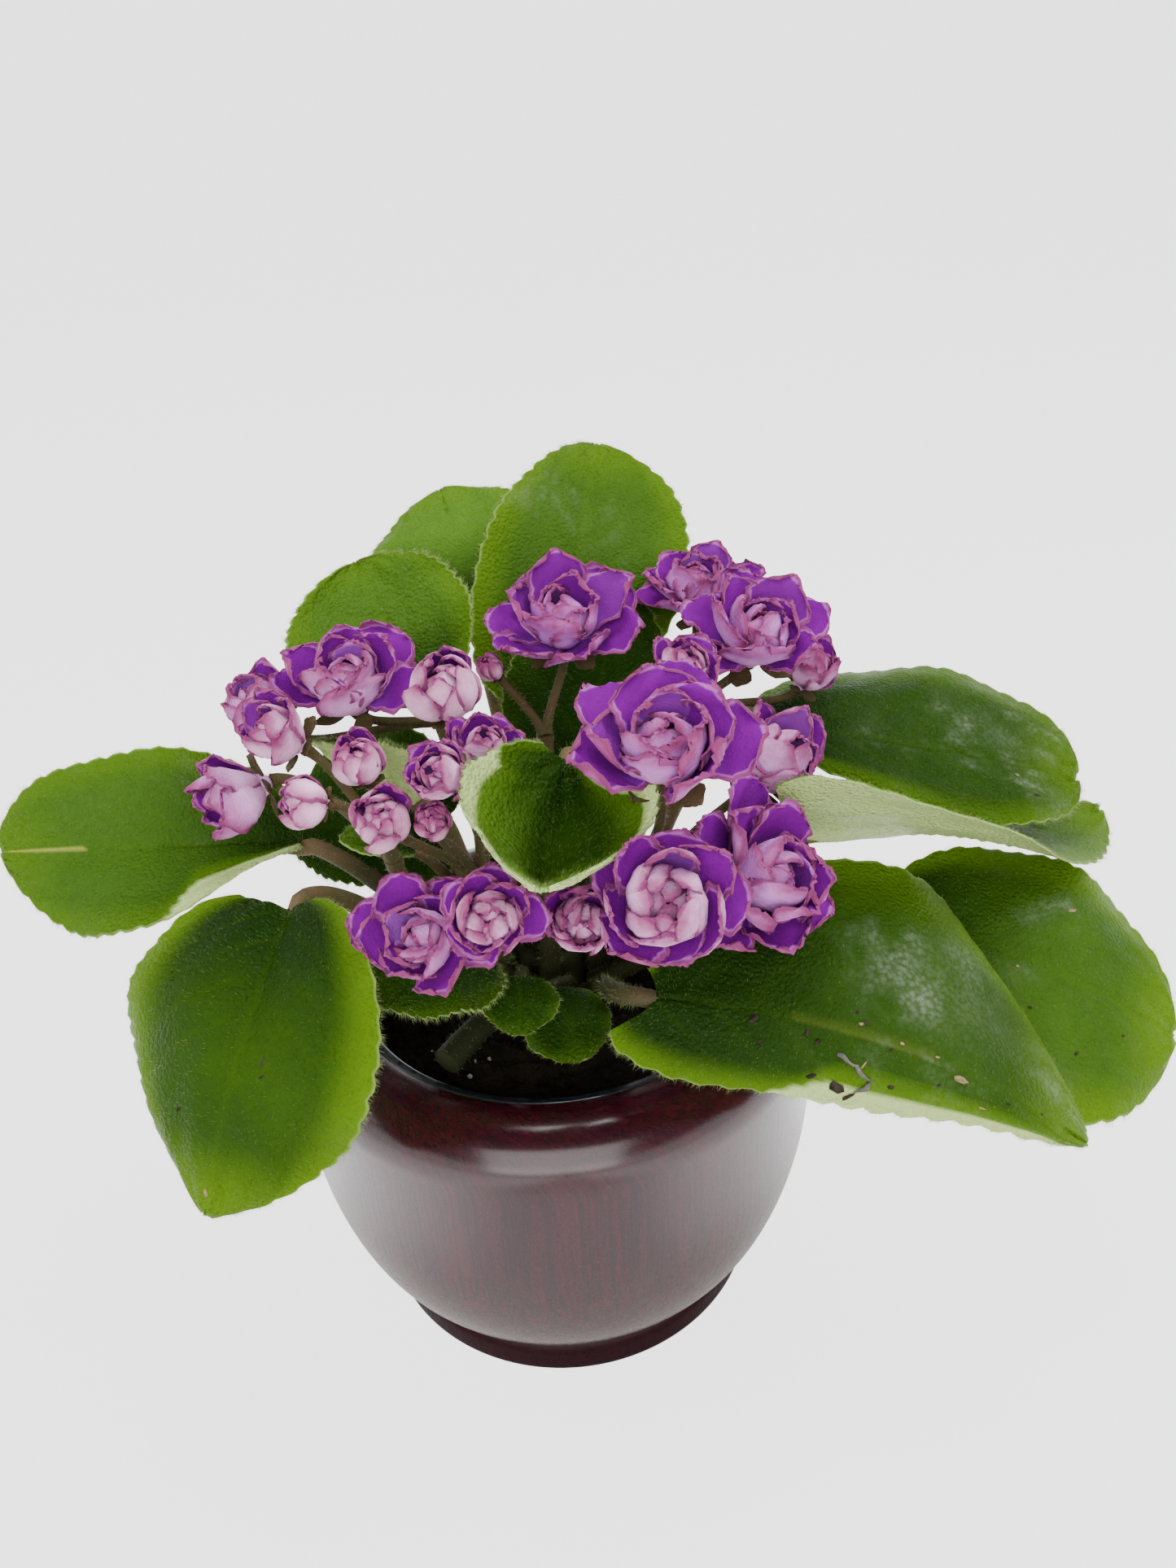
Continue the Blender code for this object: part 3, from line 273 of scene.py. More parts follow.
# Each bloom: centre, the way it faces, radius, rings, stem that carries it, seed, how pale and
# pink it is, and how many degrees the petals on its lower side fold up.
BLOOMS = {
    "bloom_back_centre": ((9, 10, 188), (-0.05, -0.42, 0.90), 19, OPEN, "b", 11, 0.10, 35),
    "bloom_back_right": ((43.5, 31, 186), (-0.10, -0.25, 0.96), 16, OPEN, "c", 12, 0.15, 60),
    "bloom_right": ((52, -5, 187), (0.14, -0.45, 0.88), 18, OPEN, "c", 13, 0.20, 70),
    "bloom_centre": ((24, -60, 189.8), (-0.04, -0.46, 0.88), 18.5, OPEN, "d", 14, 0.25, 88),
    "bloom_right_half": ((53, -23, 163.5), (0.50, -0.35, 0.80), 16.2, HALF_OPEN, "d", 15, 0.60, 40),
    "bloom_front_rosette": ((22, -74, 164.5), (-0.05, -0.80, 0.60), 15, ROSETTE, "d", 16, 0.75, 45),
    "bloom_front_right": ((45.5, -51, 152), (0.62, -0.60, 0.50), 21, OPEN, "d", 17, 0.30, 50),
    "bloom_front_left": ((-24.5, -59, 150.5), (-0.25, -0.80, 0.50), 14.5, OPEN, "a", 18, 0.40, 60),
    "bloom_front": ((-11, -68, 160), (0.05, -0.85, 0.50), 10.5, ROSETTE, "a", 19, 0.85, 70),
    "bloom_front_low": ((7, -58, 150.5), (0.05, -0.80, 0.45), 12, HALF_OPEN, "d", 20, 0.85, 50),
    "bloom_left": ((-41, -1, 181), (-0.10, -0.34, 0.93), 18, OPEN, "e", 21, 0.50, 88),
    "bloom_left_half": ((-54, -20, 178), (-0.60, -0.35, 0.70), 12, HALF_OPEN, "f", 22, 0.80, 45),
    "bloom_left_bell": ((-66, -18, 163), (-0.75, -0.40, -0.10), 14, HALF_OPEN, "f", 23, 0.50, 20),
    "bloom_left_back": ((-64, 8, 172), (-0.50, -0.10, 0.85), 13, HALF_OPEN, "e", 24, 0.50, 40),
    "bloom_centre_back": ((33, -22, 187), (0.00, -0.30, 0.95), 10.5, HALF_OPEN, "c", 25, 0.80, 50),
    "bloom_behind_leaf": (
        (-10.5, -28.5, 174.5), (0.00, -0.25, 0.97), 11, HALF_OPEN, "a", 26, 0.80, 50),
    "bloom_small_left": (
        (-18, -46.5, 179.5), (-0.50, -0.60, 0.60), 9.5, HALF_OPEN, "a", 27, 0.90, 40),
    "bloom_far_right": ((69, 10, 170), (0.45, -0.20, 0.80), 11, HALF_OPEN, "c", 28, 0.60, 30),
    "bud_large": ((-18.5, -12, 180.5), (-0.05, -0.30, 0.95), 10.8, CLOSED, "e", 31, 0.95, 20),
    "bud_left": ((-46, -38, 171), (-0.70, -0.30, 0.30), 7, CLOSED, "f", 33, 1.00, 20),
}

# Each small bud: centre, the way it faces, radius, length, stem.
BUDS = {
    "bud_upper": ((-37, -28, 175), (-0.25, -0.20, 0.95), 5.2, 13, "f"),
    "bud_front": ((-31, -50, 173), (-0.15, -0.60, 0.75), 6.6, 13, "a"),
    "bud_low": ((-21, -49, 171), (0.00, -0.40, 0.60), 3.8, 8, "a"),
    "bud_centre": ((-9, 10, 177), (-0.50, -0.20, 0.80), 3.4, 7.5, "b"),
}

# Each stem: its node, azimuth of its root on the crown, and the fork where its stalks part.
STEMS = {
    "a": ("flower_stem_front_left", 243, (-13, -36, 146)),
    "b": ("flower_stem_back", 85, (3, 6, 160)),
    "c": ("flower_stem_right", 25, (36, 4, 162)),
    "d": ("flower_stem_front_right", 305, (24, -36, 144)),
    "e": ("flower_stem_back_left", 150, (-12, 4, 163)),
    "f": ("flower_stem_left", 196, (-33, -26, 148)),
}


def colour(name, description, default):
    return FloatVectorProperty(
        name=name, description=description, subtype="COLOR", default=default, min=0, max=1)


def whole(name, description, default, least=0):
    return IntProperty(name=name, description=description, default=default, min=least)


class PotSettings(bpy.types.PropertyGroup):
    sides: whole("Sides", "Facets round each pot", 144, 24)
    burgundy: colour("Burgundy", "Brushed red of the outer pot", (0.044, 0.0012, 0.007))
    ground: colour("Ground", "Near black under the red", (0.007, 0.0012, 0.0030))
    plastic: colour("Nursery plastic", "Black of the inner pot", (0.003, 0.006, 0.012))


class SoilSettings(bpy.types.PropertyGroup):
    crumbs: whole("Crumbs", "Loose crumbs on the soil", 520)
    perlite: whole("Perlite", "White grains on the soil", 46)
    peat: colour("Peat", "Damp peat", (0.004, 0.0035, 0.0025))


class LeafSettings(bpy.types.PropertyGroup):
    rows: whole("Rows", "Grid rows along a blade", 66, 8)
    columns: whole("Columns", "Grid columns across a blade", 49, 8)
    teeth: whole("Teeth", "Scallops along each margin", 17)
    tooth_depth: FloatProperty(
        name="Tooth depth", description="Depth of a scallop", default=0.0011, unit="LENGTH")
    down: whole("Down", "Hairs on the face of a large leaf", 1900)
    fringe: whole("Fringe", "Hairs along its margin", 1000)
    hair_length: FloatProperty(
        name="Hair length", description="Mean length of a hair", default=0.0014, unit="LENGTH")
    deep: colour("Deep green", "Middle of the blade", (0.008, 0.028, 0.0008))
    fresh: colour("Fresh green", "Margin of the blade", (0.080, 0.165, 0.002))
    underside: colour("Underside", "Pale lower face", (0.42, 0.54, 0.20))
    stalk: colour("Stalk", "Tan green of the leaf stalks", (0.125, 0.080, 0.042))


class BloomSettings(bpy.types.PropertyGroup):
    rows: whole("Rows", "Grid rows along a petal", 15, 4)
    columns: whole("Columns", "Grid columns across a petal", 15, 5)
    thickness: FloatProperty(
        name="Thickness", description="Petal thickness", default=0.0008, unit="LENGTH")
    fringe: whole("Fringe", "Hairs on the rim of a large petal", 80)
    violet: colour("Violet", "Inner face of a petal", (0.112, 0.0, 0.165))
    lilac: colour("Lilac", "Back of a petal", (0.56, 0.16, 0.74))
    rose: colour("Dusty rose", "Tips and frills", (0.22, 0.036, 0.110))
    cream: colour("Cream pink", "Margins and pale blooms", (0.98, 0.56, 0.82))


class StageSettings(bpy.types.PropertyGroup):
    floor: colour("Floor", "Pale floor", (0.80, 0.79, 0.77))
    glow: FloatProperty(
        name="Floor glow", description="How bright the camera sees the floor", default=2.5, min=0)
    sky: FloatProperty(
        name="Room light", description="Strength of the room's light", default=0.20, min=0)
    window: FloatProperty(
        name="Window", description="Power of the window light", default=14.0, unit="POWER")


class VioletSettings(bpy.types.PropertyGroup):
    pot: PointerProperty(type=PotSettings)
    soil: PointerProperty(type=SoilSettings)
    leaf: PointerProperty(type=LeafSettings)
    bloom: PointerProperty(type=BloomSettings)
    stage: PointerProperty(type=StageSettings)


# Small tools


def unit(vector):
    vector = np.asarray(vector, float)
    return vector / np.maximum(np.linalg.norm(vector, axis=-1, keepdims=True), 1e-12)


def outward(azimuth):
    """The level direction at an azimuth in degrees."""
    return np.array([math.cos(math.radians(azimuth)), math.sin(math.radians(azimuth)), 0])


def smooth_step(low, high, value):
    part = np.clip((value - low) / (high - low), 0, 1)
    return part * part * (3 - 2 * part)


def store(mesh, name, values):
    """Keeps four numbers for each point of a mesh, which its materials read."""
    layer = mesh.attributes.new(name, "FLOAT_COLOR", "POINT")
    layer.data.foreach_set("color", np.asarray(values, np.float32).ravel())


def make_piece(name, parts, materials, node=None, crease=55):
    """A piece made of closed parts, each (points, list of face arrays, material, masks).

    Every part is turned so that it encloses a positive volume, which makes its faces point
    outward. Masks are four numbers for each point, which the materials read.
    """
    points, loops, starts, kinds, masks = [], [], [], [], []
    first = corner = 0
    for place, faces, kind, mask in parts:
        place = np.asarray(place, float).reshape(-1, 3)
        fans = [f[:, [0, k, k + 1]] for f in faces for k in range(1, f.shape[1] - 1)]
        inside_out = np.linalg.det(place[np.concatenate(fans)]).sum() < 0
        for f in faces:
            f = f[:, ::-1] if inside_out else f
            loops.append((f + first).reshape(-1))
            starts.append(corner + np.arange(len(f)) * f.shape[1])
            kinds.append(np.full(len(f), kind))
            corner += f.size
        points.append(place)
        masks.append(np.zeros((len(place), 4)) if mask is None else np.reshape(mask, (-1, 4)))
        first += len(place)
    points, loops = np.concatenate(points) * METRES, np.concatenate(loops)
    starts, kinds = np.concatenate(starts), np.concatenate(kinds)
    mesh = bpy.data.meshes.new(name)
    mesh.vertices.add(len(points))
    mesh.vertices.foreach_set("co", points.astype(np.float32).ravel())
    mesh.loops.add(len(loops))
    mesh.loops.foreach_set("vertex_index", loops.astype(np.int32))
    mesh.polygons.add(len(starts))
    mesh.polygons.foreach_set("loop_start", starts.astype(np.int32))
    mesh.polygons.foreach_set("material_index", kinds.astype(np.int32))
    mesh.update(calc_edges=True)
    mesh.validate()
    store(mesh, "masks", np.concatenate(masks))
    for material in materials:
        mesh.materials.append(material)
    mesh.shade_smooth()
    if crease:
        mesh.set_sharp_from_angle(angle=math.radians(crease))
    piece = bpy.data.objects.new(name, mesh)
    bpy.context.scene.collection.objects.link(piece)
    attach(piece, "root")
    if node:
        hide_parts(node)
    return piece


def sheet_faces(rows, columns):
    """Quads of a closed sheet: its upper grid, its lower grid turned over, and its rim."""
    upper = np.arange(rows * columns).reshape(rows, columns)
    cells = np.stack([upper[:-1, :-1], upper[:-1, 1:], upper[1:, 1:], upper[1:, :-1]], -1)
    cells = cells.reshape(-1, 4)
    border = np.concatenate([upper[:, 0], upper[-1, 1:], upper[-2::-1, -1], upper[0, -2:0:-1]])
    ahead = np.roll(border, -1)
    below = rows * columns
    rim = np.stack([border, ahead, ahead + below, border + below], -1)
    return np.concatenate([cells, cells[:, ::-1] + below, rim])


def many(faces, count, points_each):
    """The same faces repeated for each of count like shapes."""
    return (faces[None] + points_each * np.arange(count)[:, None, None]).reshape(-1, faces.shape[1])


def bezier(p0, p1, p2, p3, steps):
    """Points along a cubic curve, with its unit tangents."""
    t = np.linspace(0, 1, steps)[:, None]
    p0, p1, p2, p3 = (np.asarray(p, float) for p in (p0, p1, p2, p3))
    r = 1 - t
    place = r**3 * p0 + 3 * r * r * t * p1 + 3 * r * t * t * p2 + t**3 * p3
    slope = r * r * (p1 - p0) + 2 * r * t * (p2 - p1) + t * t * (p3 - p2)
    return place, unit(slope)


def circles(side, rise, sides):
    """Points of a unit circle in the plane of each pair of axes."""
    angles = (np.arange(sides) * 2 * math.pi / sides)[None, :, None]
    return np.cos(angles) * side[:, None] + np.sin(angles) * rise[:, None]


def ring_faces(rows, sides):
    """Quads between neighbouring rings, and a fan from a pole point at each end."""
    grid = np.arange(rows * sides).reshape(-1, sides)
    ahead = np.roll(grid, -1, axis=1)
    quads = np.stack([grid[:-1], ahead[:-1], ahead[1:], grid[1:]], -1).reshape(-1, 4)
    start = np.full(sides, grid.size)
    return [quads, np.concatenate([
        np.stack([start, ahead[0], grid[0]], -1), np.stack([start + 1, grid[-1], ahead[-1]], -1)])]


def tube(path, tangents, radii, sides, kind=0):
    """A closed tube round a path: rings square to it, and a pole at each rounded end."""
    side = unit(np.cross(tangents, (0.31, 0.22, 0.93)))
    radii = np.asarray(radii, float)
    ring = circles(side, np.cross(side, tangents), sides)
    points = path[:, None] + radii[:, None, None] * ring
    poles = np.stack([
        path[0] - tangents[0] * radii[0] * 0.3, path[-1] + tangents[-1] * radii[-1] * 0.3])
    points = np.concatenate([points.reshape(-1, 3), poles])
    return points, ring_faces(len(path), sides), kind, None


def lathe(profile, sides, lift=None):
    """A profile of (radius, z) turned about Z, closed by a pole at each end of it.

    Its first mask is the way travelled along the profile, in decimetres.
    """
    profile = np.asarray(profile, float)
    angle = np.arange(sides) * 2 * math.pi / sides
    radius, z = profile[1:-1, 0][:, None], profile[1:-1, 1][:, None]
    height = z + (lift(radius, z, angle[None]) if lift else 0 * angle[None])
    points = np.stack([radius * np.cos(angle), radius * np.sin(angle), height], -1)
    steps = np.linalg.norm(np.diff(profile[1:-1], axis=0), axis=1)
    travel = np.concatenate([[0], np.cumsum(steps)])
    end = profile[-1, 1]
    poles = [(0, 0, profile[0, 1]), (0, 0, end + (lift(0.0, end, 0.0) if lift else 0))]
    mask = np.zeros((points.size // 3 + 2, 4))
    mask[:-2, 0] = np.repeat(travel / 100, sides)
    faces = ring_faces(len(points), sides)
    return np.concatenate([points.reshape(-1, 3), poles]), faces, 0, mask


def fillet(profile, corners, steps=6):
    """The profile with each named corner rounded: its two neighbours' lines meet in an arc.

    The arc is a quadratic curve from a point on the line before to a point on the line after,
    both as far from the corner as its rounding says.
    """
    made = []
    for number, corner in enumerate(profile):
        size = corners.get(number, 0)
        corner = np.asarray(corner, float)
        if not size:
            made.append(corner)
            continue
        before = unit(np.asarray(profile[number - 1], float) - corner)
        after = unit(np.asarray(profile[number + 1], float) - corner)
        t = np.linspace(0, 1, steps)[:, None]
        first, last = corner + before * size, corner + after * size
        made.extend((1 - t) ** 2 * first + 2 * t * (1 - t) * corner + t**2 * last)
    return made


def hairs(roots, ways, lengths, width):
    """Closed three-sided spikes, each with its root a little under the surface."""
    count = len(roots)
    ways = unit(ways)
    side = unit(np.cross(ways, (0.37, 0.61, 0.70)))
    ring = circles(side, np.cross(ways, side), 3)
    base = (roots - 0.15 * ways)[:, None] + 0.5 * width * ring
    tips = (roots + ways * np.asarray(lengths)[:, None])[:, None]
    points = np.concatenate([base, tips], axis=1)
    faces = np.array([(0, 1, 3), (1, 2, 3), (2, 0, 3), (2, 1, 0)])
    return points, [many(faces, count, 4)], 0, None


def frame_of(facing):
    """Rows are a bloom's own axes in the world: two across it and one along it."""
    along = unit(facing)
    first = unit(np.cross((0, 0, 1) if abs(along[2]) < 0.95 else (0, 1, 0), along))
    return np.array([first, np.cross(along, first), along])


# Leaves


def leaf_blade(leaf, s, v, settings, seed):
    """Upper and lower face of a blade, its normals and its masks, at s along and v across it.

    Each side's edge follows a rounded outline with shallow scallops. A cross-section leaves the
    midrib at the side's rise and bends by its curl, and its outer end slides along by the sweep
    and lobe. Side veins run out and forward from the midrib; the face sinks along them and
    swells between them, and low waves run over the whole blade.
    """
    joint, tip, up = (np.asarray(leaf[key], float) for key in ("joint", "tip", "up"))
    length = np.linalg.norm(tip - joint)
    up = unit(up - np.dot(up, unit(tip - joint)) * unit(tip - joint))
    s = np.asarray(s, float)[:, None]
    v = np.asarray(v, float)[None, :]
    arch = 4 * s * (1 - s)
    midrib = joint + (tip - joint) * s + up * (leaf["bow"] * arch)
    ahead = unit((tip - joint) + up * (leaf["bow"] * 4 * (1 - 2 * s)))
    normal = unit(up - (ahead @ up)[:, None] * ahead)
    right = np.cross(ahead, normal)
    small = is_small(leaf)
    teeth = settings.teeth * (0.6 if small else 1)
    depth = settings.tooth_depth / METRES * (0.5 if small else 1)
    across = np.zeros((len(s), v.shape[1], 3))
    for sign, key in ((-1, "left"), (1, "right")):
        width, widest, sweep, rise0, rise1, curl0, curl1 = leaf[key]
        part = np.clip(v * sign, 0, 1)
        outline = np.sin(math.pi * s ** (math.log(0.5) / math.log(widest))) ** OUTLINE_POWER
        scallop = depth * (np.abs(np.sin(math.pi * teeth * s + sign)) - 0.75) * part**9
        angle = np.radians(rise0 + (rise1 - rise0) * s + (curl0 + (curl1 - curl0) * s) * part)
        reach = width * outline * part + scallop * np.minimum(1, 3 * outline)
        slide = length * outline * (sweep * s - leaf["lobe"] * (1 - s) ** 3) * part**1.5
        wave = leaf["wave"] * np.sin(2 * math.pi * (WAVES * s + 0.21 * sign)) * part**2
        across += (reach * np.cos(angle))[..., None] * (sign * right[:, None])
        across += (reach * np.sin(angle) + wave * outline)[..., None] * normal[:, None]
        across += slide[..., None] * ahead[:, None]
    middle = midrib[:, None] + across
    face = unit(np.cross(np.gradient(middle, axis=1), np.gradient(middle, axis=0)))
    if (face[len(s) // 2, v.shape[1] // 2] @ up) < 0:
        face = -face
    turns = np.random.default_rng(seed).uniform(0, 2 * math.pi, 6)
    flow = 7.5 * (s - 0.34 * np.abs(v) ** 1.25) + 0.03 * np.sin(9 * v + turns[0])
    near = np.abs((flow + 0.5 * (v > 0)) % 1 - 0.5) * 2
    vein = np.exp(-((near / 0.13) ** 2)) * (1 - np.abs(v) ** 3) * np.minimum(1, 9 * np.abs(v))
    swell = 0.22 * near * (1 - np.abs(v) ** 2)
    low = 0.45 * np.sin(5 * s + 3 * v + turns[1]) * np.sin(6 * v - 2 * s + turns[2])
    low = low + 0.20 * np.sin(15 * s - 7 * v + turns[3]) * np.sin(9 * s + 11 * v + turns[4])
    rib_line = np.exp(-((v / 0.035) ** 2))
    size = 0.5 if small else 1.0
    relief = size * (swell - 0.30 * vein + low * (1 - rib_line) - 0.45 * rib_line * (1 - s))
    rib = RIB_DEPTH * size * (1 - s) ** 0.7 * np.clip(1 - 5 * np.abs(v), 0, 1)
    thick = 0.5 + 0.6 * (1 - np.abs(v) ** 4) * (1 - s**4)
    top = middle + face * (thick / 2 + relief)[..., None]
    bottom = middle - face * (thick / 2 - relief + rib + 0.25 * vein)[..., None]
    rim = np.minimum(1 - np.abs(v), (1 - s) * 1.6)
    turned = 0 * (s + v)
    for side, first, last, inner in leaf.get("turned", ()):
        far = smooth_step(first - 0.06, first + 0.02, s) * (1 - smooth_step(last - 0.10, last, s))
        start = 1 - (1 - inner) * far
        band = smooth_step(start - 0.04, start + 0.04, v * side) * (far > 0.05)
        rim = np.where(v * side > 0.3, np.minimum(np.abs(start - v * side), rim + band), rim)
        turned = np.maximum(turned, band)
    masks = np.stack(np.broadcast_arrays(rim, turned, np.maximum(vein, rib_line), s), -1)
    under = masks.copy()
    under[..., 1] = 1
    return top, bottom, face, masks, under


def is_small(leaf):
    return max(leaf["left"][0], leaf["right"][0]) < SMALL_LEAF


def petiole_path(leaf, steps):
    """The stalk from the crown to the blade, leaving the crown outward and meeting the midrib."""
    azimuth, z = leaf["root"]
    out = outward(azimuth)
    steep = leaf["rise"] / math.hypot(1, leaf["rise"])
    share = SMALL_PETIOLE if is_small(leaf) else 1
    root = out * (CROWN_RADIUS + GAP + steep * PETIOLE_RADIUS * share + 0.25) + (0, 0, z)
    joint, tip = np.asarray(leaf["joint"], float), np.asarray(leaf["tip"], float)
    reach = np.linalg.norm(joint - root)
    start = unit(out + (0, 0, leaf["rise"]))
    end = unit(tip - joint) + (0, 0, 0.35)
    end = unit(np.maximum(end, (-1, -1, -0.05)))
    path, _ = bezier(root, root + start * reach * 0.35, joint - end * reach * 0.22, joint, steps)
    return path, share * np.linspace(PETIOLE_RADIUS, PETIOLE_END_RADIUS, steps)


def make_leaf(name, leaf, number, settings, materials):
    """One leaf: a blade and its stalk running on into the midrib; it returns the shape that its
    coat of hairs grows on.
    """
    small = is_small(leaf)
    rows = settings.rows // 2 if small else settings.rows
    columns = settings.columns // 4 * 2 + 1 if small else settings.columns
    s = 0.5 - 0.5 * np.cos(math.pi * np.linspace(*LEAF_SPAN, rows))
    even = np.linspace(-1, 1, columns)
    v = np.sin(even * math.pi / 2) * 0.35 + even * 0.65
    top, bottom, face, masks, under = leaf_blade(leaf, s, v, settings, LEAF_SEED + number)
    points = np.concatenate([top.reshape(-1, 3), bottom.reshape(-1, 3)])
    mask = np.concatenate([masks.reshape(-1, 4), under.reshape(-1, 4)])
    parts = [(points, [sheet_faces(rows, columns)], 0, mask)]
    path, radii = petiole_path(leaf, 26)
    ahead = middle_line(top, bottom, rows // 4)
    path = np.concatenate([path[:-1], ahead])
    tangents = unit(np.gradient(path, axis=0))
    radii = np.concatenate([radii[:-1], radii[-1] * np.linspace(0.95, 0.25, len(ahead))])
    parts.append(tube(path, tangents, radii, 14, 1))
    piece = make_piece(name + "_blade", parts, materials, name)
    values = np.tile((*leaf["tone"], 0.0), (len(piece.data.vertices), 1))
    # Painted light: with lit, one side of the blade, from where across it starts, is painted to the
    # given lightness, as on its lit side.
    if "lit" in leaf:
        side, start, light = leaf["lit"]
        part = np.tile(smooth_step(start - 0.15, start + 0.15, v * side), 2 * rows)
        values[:part.size, 0] += (light - leaf["tone"][0]) * part
    if "line" in leaf:
        first, last, strength = leaf["line"]
        middle = np.arange(rows) * columns + columns // 2
        values[middle, 3] = strength * ((s > first) & (s < last))
    store(piece.data, "tone", values)
    return top, bottom, face, path, tangents, radii


def middle_line(top, bottom, rows):
    """The first rows of a blade's midrib, a little under its face."""
    middle = top.shape[1] // 2
    return 0.35 * top[:rows, middle] + 0.65 * bottom[:rows, middle]


def between(grid, row, column):
    """Points of a grid at fractional rows and columns, by bilinear mixing."""
    i = np.clip(row.astype(int), 0, grid.shape[0] - 2)
    j = np.clip(column.astype(int), 0, grid.shape[1] - 2)
    a, b = (row - i)[:, None], (column - j)[:, None]
    low = grid[i, j] * (1 - b) + grid[i, j + 1] * b
    high = grid[i + 1, j] * (1 - b) + grid[i + 1, j + 1] * b
    return low * (1 - a) + high * a


def leaf_hairs(name, leaf, shape, number, settings, material):
    """Down on both faces, a fringe round the margin and a coat on the stalk.

    A hair starts at a random place of the blade's grid and stands along the normal, leaning
    toward the margin by a random amount; a fringe hair points out of the margin.
    """
    top, bottom, face, path, tangents, radii = shape
    draw = np.random.default_rng(HAIR_SEED + number)
    share = 0.18 if is_small(leaf) else 1.0
    size = settings.hair_length / METRES * (0.7 if is_small(leaf) else 1)
    rows, columns = top.shape[:2]
    count = int(settings.down * share)
    lean = unit(top - top[:, columns // 2][:, None])
    sets = []
    for grid, sign, amount in ((top, 1, count), (bottom, -1, count // 3)):
        row = draw.uniform(0.5, rows - 1.5, amount)
        column = draw.uniform(0.2, columns - 1.2, amount)
        root = between(grid, row, column)
        way = sign * between(face, row, column) + 0.75 * between(lean, row, column)
        way = way + 0.35 * draw.normal(size=(amount, 3))
        sets.append((root, way, size * draw.uniform(0.35, 0.85, amount), DOWN_WIDTH))
    amount = int(settings.fringe * share)
    middle = (top + bottom) / 2
    row = draw.uniform(0, rows - 1.01, amount)
    column = np.where(draw.random(amount) < 0.5, 0, columns - 1.001)
    root = between(middle, row, column)
    out = unit(middle[:, [0, -1]] - middle[:, [1, -2]])
    way = between(out, row, (column > 1).astype(float) * 0.999)
    ahead = unit(np.gradient(middle, axis=0))
    way = way + 0.25 * between(ahead, row, column) + 0.30 * draw.normal(size=(amount, 3))
    way = way + 0.25 * between(face, row, column)
    sets.append((root, way, size * draw.uniform(0.6, 1.35, amount), FRINGE_WIDTH))
    count = int(STALK_HAIRS * share)
    sets.append(tube_hairs(path, tangents, radii, count, size * 1.1, draw))
    parts = [hairs(*each) for each in sets]
    return make_piece(name + "_hairs", parts, [material], crease=0)


def tube_hairs(path, tangents, radii, count, size, draw):
    """Hairs standing out from a tube, all round it and all along it."""
    place = draw.uniform(0, len(path) - 1.001, count)
    i = place.astype(int)
    part = (place - i)[:, None]
    centre = path[i] * (1 - part) + path[i + 1] * part
    along = unit(tangents[i])
    radius = radii[i][:, None] * (1 - part) + radii[i + 1][:, None] * part
    around = draw.normal(size=(count, 3))
    out = unit(around - (around * along).sum(axis=1, keepdims=True) * along)
    way = out + 0.35 * draw.normal(size=(count, 3))
    return centre + out * radius, way, size * draw.uniform(0.5, 1.2, count), STALK_HAIR_WIDTH


def on_leaf(name, places, settings):
    """Points on a leaf's face at places along and across it, and the normals there."""
    s, v = np.linspace(*LEAF_SPAN, 60), np.linspace(-1, 1, 61)
    seed = LEAF_SEED + list(LEAVES).index(name)
    top, _, face, _, _ = leaf_blade(LEAVES[name], s, v, settings, seed)
    row = (places[:, 0] - LEAF_SPAN[0]) / (LEAF_SPAN[1] - LEAF_SPAN[0]) * (len(s) - 1)
    column = (places[:, 1] + 1) * (len(v) // 2)
    return between(top, row, column), unit(between(face, row, column))


def debris_shapes(name, marks, settings):
    """Crumbs and slivers lying on a leaf: each mark is s, v, length, width and turn in degrees."""
    marks = np.asarray(marks, float)
    centre, up = on_leaf(name, marks, settings)
    along = unit(np.cross(up, (0.1, 1, 0)))
    aside = np.cross(up, along)
    turn = np.radians(marks[:, 4])[:, None]
    cos, sin = np.cos(turn), np.sin(turn)
    along, aside = along * cos + aside * sin, aside * cos - along * sin
    draw = np.random.default_rng(DEBRIS_SEED + list(LEAVES).index(name))
    points, faces = crumb_shapes(np.zeros((len(marks), 3)), np.ones(len(marks)), draw)
    length, width = marks[:, 2:3], marks[:, 3:4]
    axes = np.stack([along * length, aside * width, up * width * 0.7], 1)
    return (centre + up * 0.15 * width)[:, None] + points @ (0.5 * axes), faces


def dry_root(settings):
    """A thin wavy root that runs over the knots given for it, just clear of the leaf."""
    name, places = DRY_ROOT
    centre, up = on_leaf(name, np.array(places), settings)
    knots = centre + np.array(ROOT_LIFT)[:, None] * up
    fine = np.linspace(0, len(knots) - 1, 40)
    path = np.stack([np.interp(fine, np.arange(len(knots)), knots[:, k]) for k in range(3)], -1)
    path = path + 0.25 * np.sin(np.stack([2.1 * fine, 3.3 * fine, 2.7 * fine], -1))
    return tube(path, unit(np.gradient(path, axis=0)), 0.40 + 0.16 * np.sin(2.9 * fine), 8, 2)


# Blooms


